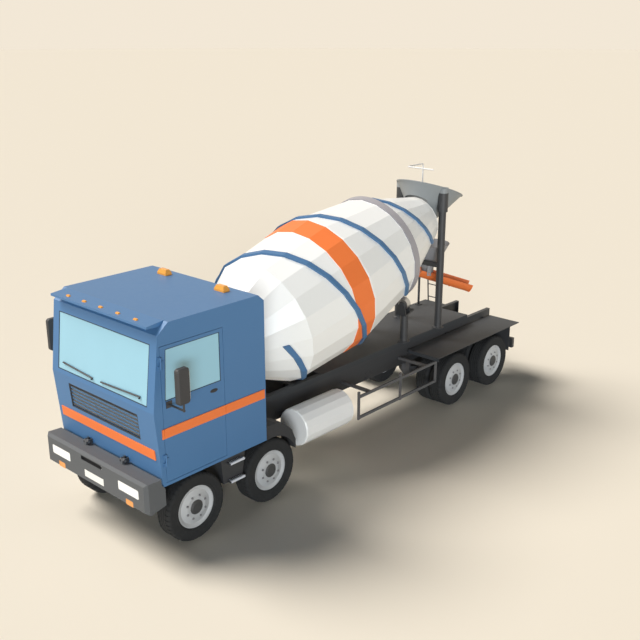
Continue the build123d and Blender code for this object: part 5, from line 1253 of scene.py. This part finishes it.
class MIXER_OT_controls(Operator):
    """Adds the lever box on the control stand"""

    bl_idname = "mixer.controls"
    bl_label = "Rear controls"

    def execute(self, context):
        bm = bmesh.new()
        add_box(bm, CONTROL_BOX, STAND + UP * CONTROL_BOX_RISE, 0.012)
        for shift in LEVER_SHIFTS:
            foot = STAND + ALONG * shift + UP * LEVER_FOOT_RISE
            add_rod(bm, foot, foot + LEVER, LEVER_RADIUS, 8)
            bmesh.ops.create_icosphere(bm, subdivisions=2, radius=KNOB_RADIUS,
                                       matrix=Matrix.Translation(foot + LEVER))
        finish_piece(bm, "control_box", "dark_mould", "chassis", smooth=35)
        return {"FINISHED"}


REAR_LENSES = (
    # name, finish, slot, height of its middle over the lamp's, height of the lens
    ("tail_lenses", "red_lens", "lamp", 0.035, 0.085),
    ("turn_lenses", "amber_lens", "amber", -0.0225, 0.075),
)
LENS_DEPTH = 0.012
LENS_WIDTH = 0.088
LENS_BACK = 0.004  # its middle behind the lamp's face


class MIXER_OT_rear_lenses(Operator):
    """Adds the red and amber lenses on the rear lamp blocks"""

    bl_idname = "mixer.rear_lenses"
    bl_label = "Rear lenses"

    def execute(self, context):
        for name, finish, slot, rise, tall in REAR_LENSES:
            bm = bmesh.new()
            for _, side in SIDES:
                centre = (REAR_LAMP_FACE - LENS_BACK, side * REAR_LAMP_HALF, REAR_LAMP_HEIGHT + rise)
                add_box(bm, (LENS_DEPTH, LENS_WIDTH, tall), centre, 0.004)
            finish_piece(bm, name, finish, "chassis")
        return {"FINISHED"}


FLOOR_RADIUS = 260.0
SKY_COLOUR = (0.98, 0.99, 1.0, 1.0)
BACKGROUND = (0.893, 0.805, 0.675, 1.0)
KEY_COLOUR = (1.0, 0.96, 0.92)
KEY_DIRECTION = (-0.35, 0.73, -1.0)
FILL_COLOUR = (0.89, 0.95, 1.0)
FILL_DIRECTION = (-0.79, -0.82, -0.045)
FILL_SPREAD = math.radians(28)
CAMERA_PLACE = (11.194, 10.155, 7.192)
CAMERA_DOWN = math.radians(18.50)
CAMERA_HEADING = math.radians(-137.59)


def add_floor(scene, cream):
    """A flat floor that runs to the horizon."""
    bm = bmesh.new()
    bmesh.ops.create_circle(bm, cap_ends=True, segments=64, radius=FLOOR_RADIUS)
    mesh = bpy.data.meshes.new("studio_floor")
    bm.to_mesh(mesh)
    bm.free()
    floor = bpy.data.objects.new("studio_floor", mesh)
    scene.collection.objects.link(floor)
    new_material("floor_matt", cream, Roughness=1.0, Specular_IOR_Level=0.0, Base_Color=(*cream, 1.0))
    mesh.materials.append(MATERIALS["floor_matt"])


def add_sky(scene, strength):
    """A faint light all round, and a pale background where the camera sees it."""
    world = bpy.data.worlds.new("studio_sky")
    scene.world = world
    world.use_nodes = True
    tree = world.node_tree
    tree.nodes.clear()
    out = tree.nodes.new("ShaderNodeOutputWorld")
    path = tree.nodes.new("ShaderNodeLightPath").outputs
    seen = math_node(tree, "MAXIMUM", path["Is Camera Ray"],
                     math_node(tree, "MAXIMUM", path["Is Glossy Ray"], path["Is Transmission Ray"]))
    pick = tree.nodes.new("ShaderNodeMixShader")
    tree.links.new(seen, pick.inputs[0])
    for index, colour, light in ((1, SKY_COLOUR, strength), (2, BACKGROUND, 1.0)):
        shade = tree.nodes.new("ShaderNodeBackground")
        shade.inputs["Color"].default_value = colour
        shade.inputs["Strength"].default_value = light
        tree.links.new(shade.outputs[0], pick.inputs[index])
    tree.links.new(pick.outputs[0], out.inputs["Surface"])


def add_lamp(scene, name, strength, spread, colour, direction):
    """A soft lamp that shines from far off in one direction."""
    data = bpy.data.lights.new(name, "SUN")
    data.color = colour
    data.energy = strength
    data.angle = spread
    lamp = bpy.data.objects.new(name, data)
    lamp.rotation_mode = "QUATERNION"
    lamp.rotation_quaternion = Vector(direction).to_track_quat("-Z", "Y")
    scene.collection.objects.link(lamp)


def add_camera(scene, lens):
    """The camera, ahead of the truck's left front corner."""
    data = bpy.data.cameras.new("camera")
    data.lens = lens
    data.sensor_width = 36.0
    data.clip_end = 1000.0
    camera = bpy.data.objects.new("camera", data)
    camera.location = CAMERA_PLACE
    quarter = math.pi / 2
    camera.rotation_euler = (quarter - CAMERA_DOWN, 0.0, CAMERA_HEADING - quarter)
    scene.collection.objects.link(camera)
    scene.camera = camera


class MIXER_OT_stage(Operator):
    """Makes the floor, the lamps, the surroundings and the camera"""

    bl_idname = "mixer.stage"
    bl_label = "Stage"

    def execute(self, context):
        scene = context.scene
        settings = scene.mixer_stage
        add_floor(scene, scene.mixer_paint.floor_cream)
        add_sky(scene, settings.sky_strength)
        add_lamp(scene, "key_lamp", settings.key_strength, settings.key_spread, KEY_COLOUR, KEY_DIRECTION)
        add_lamp(scene, "fill_lamp", settings.fill_strength, FILL_SPREAD, FILL_COLOUR, FILL_DIRECTION)
        add_camera(scene, settings.lens)
        scene.view_settings.view_transform = "Standard"
        return {"FINISHED"}


# ------------------------------------------------------------------ panel and add-on
class MIXER_PT_panel(Panel):
    """Shows the settings and the operator buttons of the mixer truck"""

    bl_idname = "MIXER_PT_panel"
    bl_label = "Mixer Truck"
    bl_space_type = "VIEW_3D"
    bl_region_type = "UI"
    bl_category = "Mixer"

    def draw(self, context):
        for settings in (context.scene.mixer_paint, context.scene.mixer_size, context.scene.mixer_stage):
            box = self.layout.box()
            for key in settings.__annotations__:
                box.prop(settings, key)
        for operator in OPERATORS:
            self.layout.operator(operator.bl_idname)


OPERATORS = (
    MIXER_OT_finishes,
    MIXER_OT_tyres,
    MIXER_OT_hubs,
    MIXER_OT_seals,
    MIXER_OT_wipers,
    MIXER_OT_door_fittings,
    MIXER_OT_plates,
    MIXER_OT_towing_pin,
    MIXER_OT_step_treads,
    MIXER_OT_frame_bolts,
    MIXER_OT_drum_fittings,
    MIXER_OT_hopper_fittings,
    MIXER_OT_chute_fittings,
    MIXER_OT_controls,
    MIXER_OT_rear_lenses,
    MIXER_OT_stage,
)
SETTINGS = (
    ("mixer_paint", MixerPaintSettings),
    ("mixer_size", MixerSizeSettings),
    ("mixer_stage", MixerStageSettings),
)


def register():
    for name, kind in SETTINGS:
        bpy.utils.register_class(kind)
        setattr(bpy.types.Scene, name, PointerProperty(type=kind))
    for kind in (*OPERATORS, MIXER_PT_panel):
        bpy.utils.register_class(kind)


def unregister():
    for kind in reversed((*OPERATORS, MIXER_PT_panel)):
        bpy.utils.unregister_class(kind)
    for name, kind in reversed(SETTINGS):
        delattr(bpy.types.Scene, name)
        bpy.utils.unregister_class(kind)


def main():
    """Registers the add-on and runs its operators in order."""
    register()
    for operator in OPERATORS:
        group, name = operator.bl_idname.split(".")
        getattr(getattr(bpy.ops, group), name)()


if __name__ == "__main__":
    main()
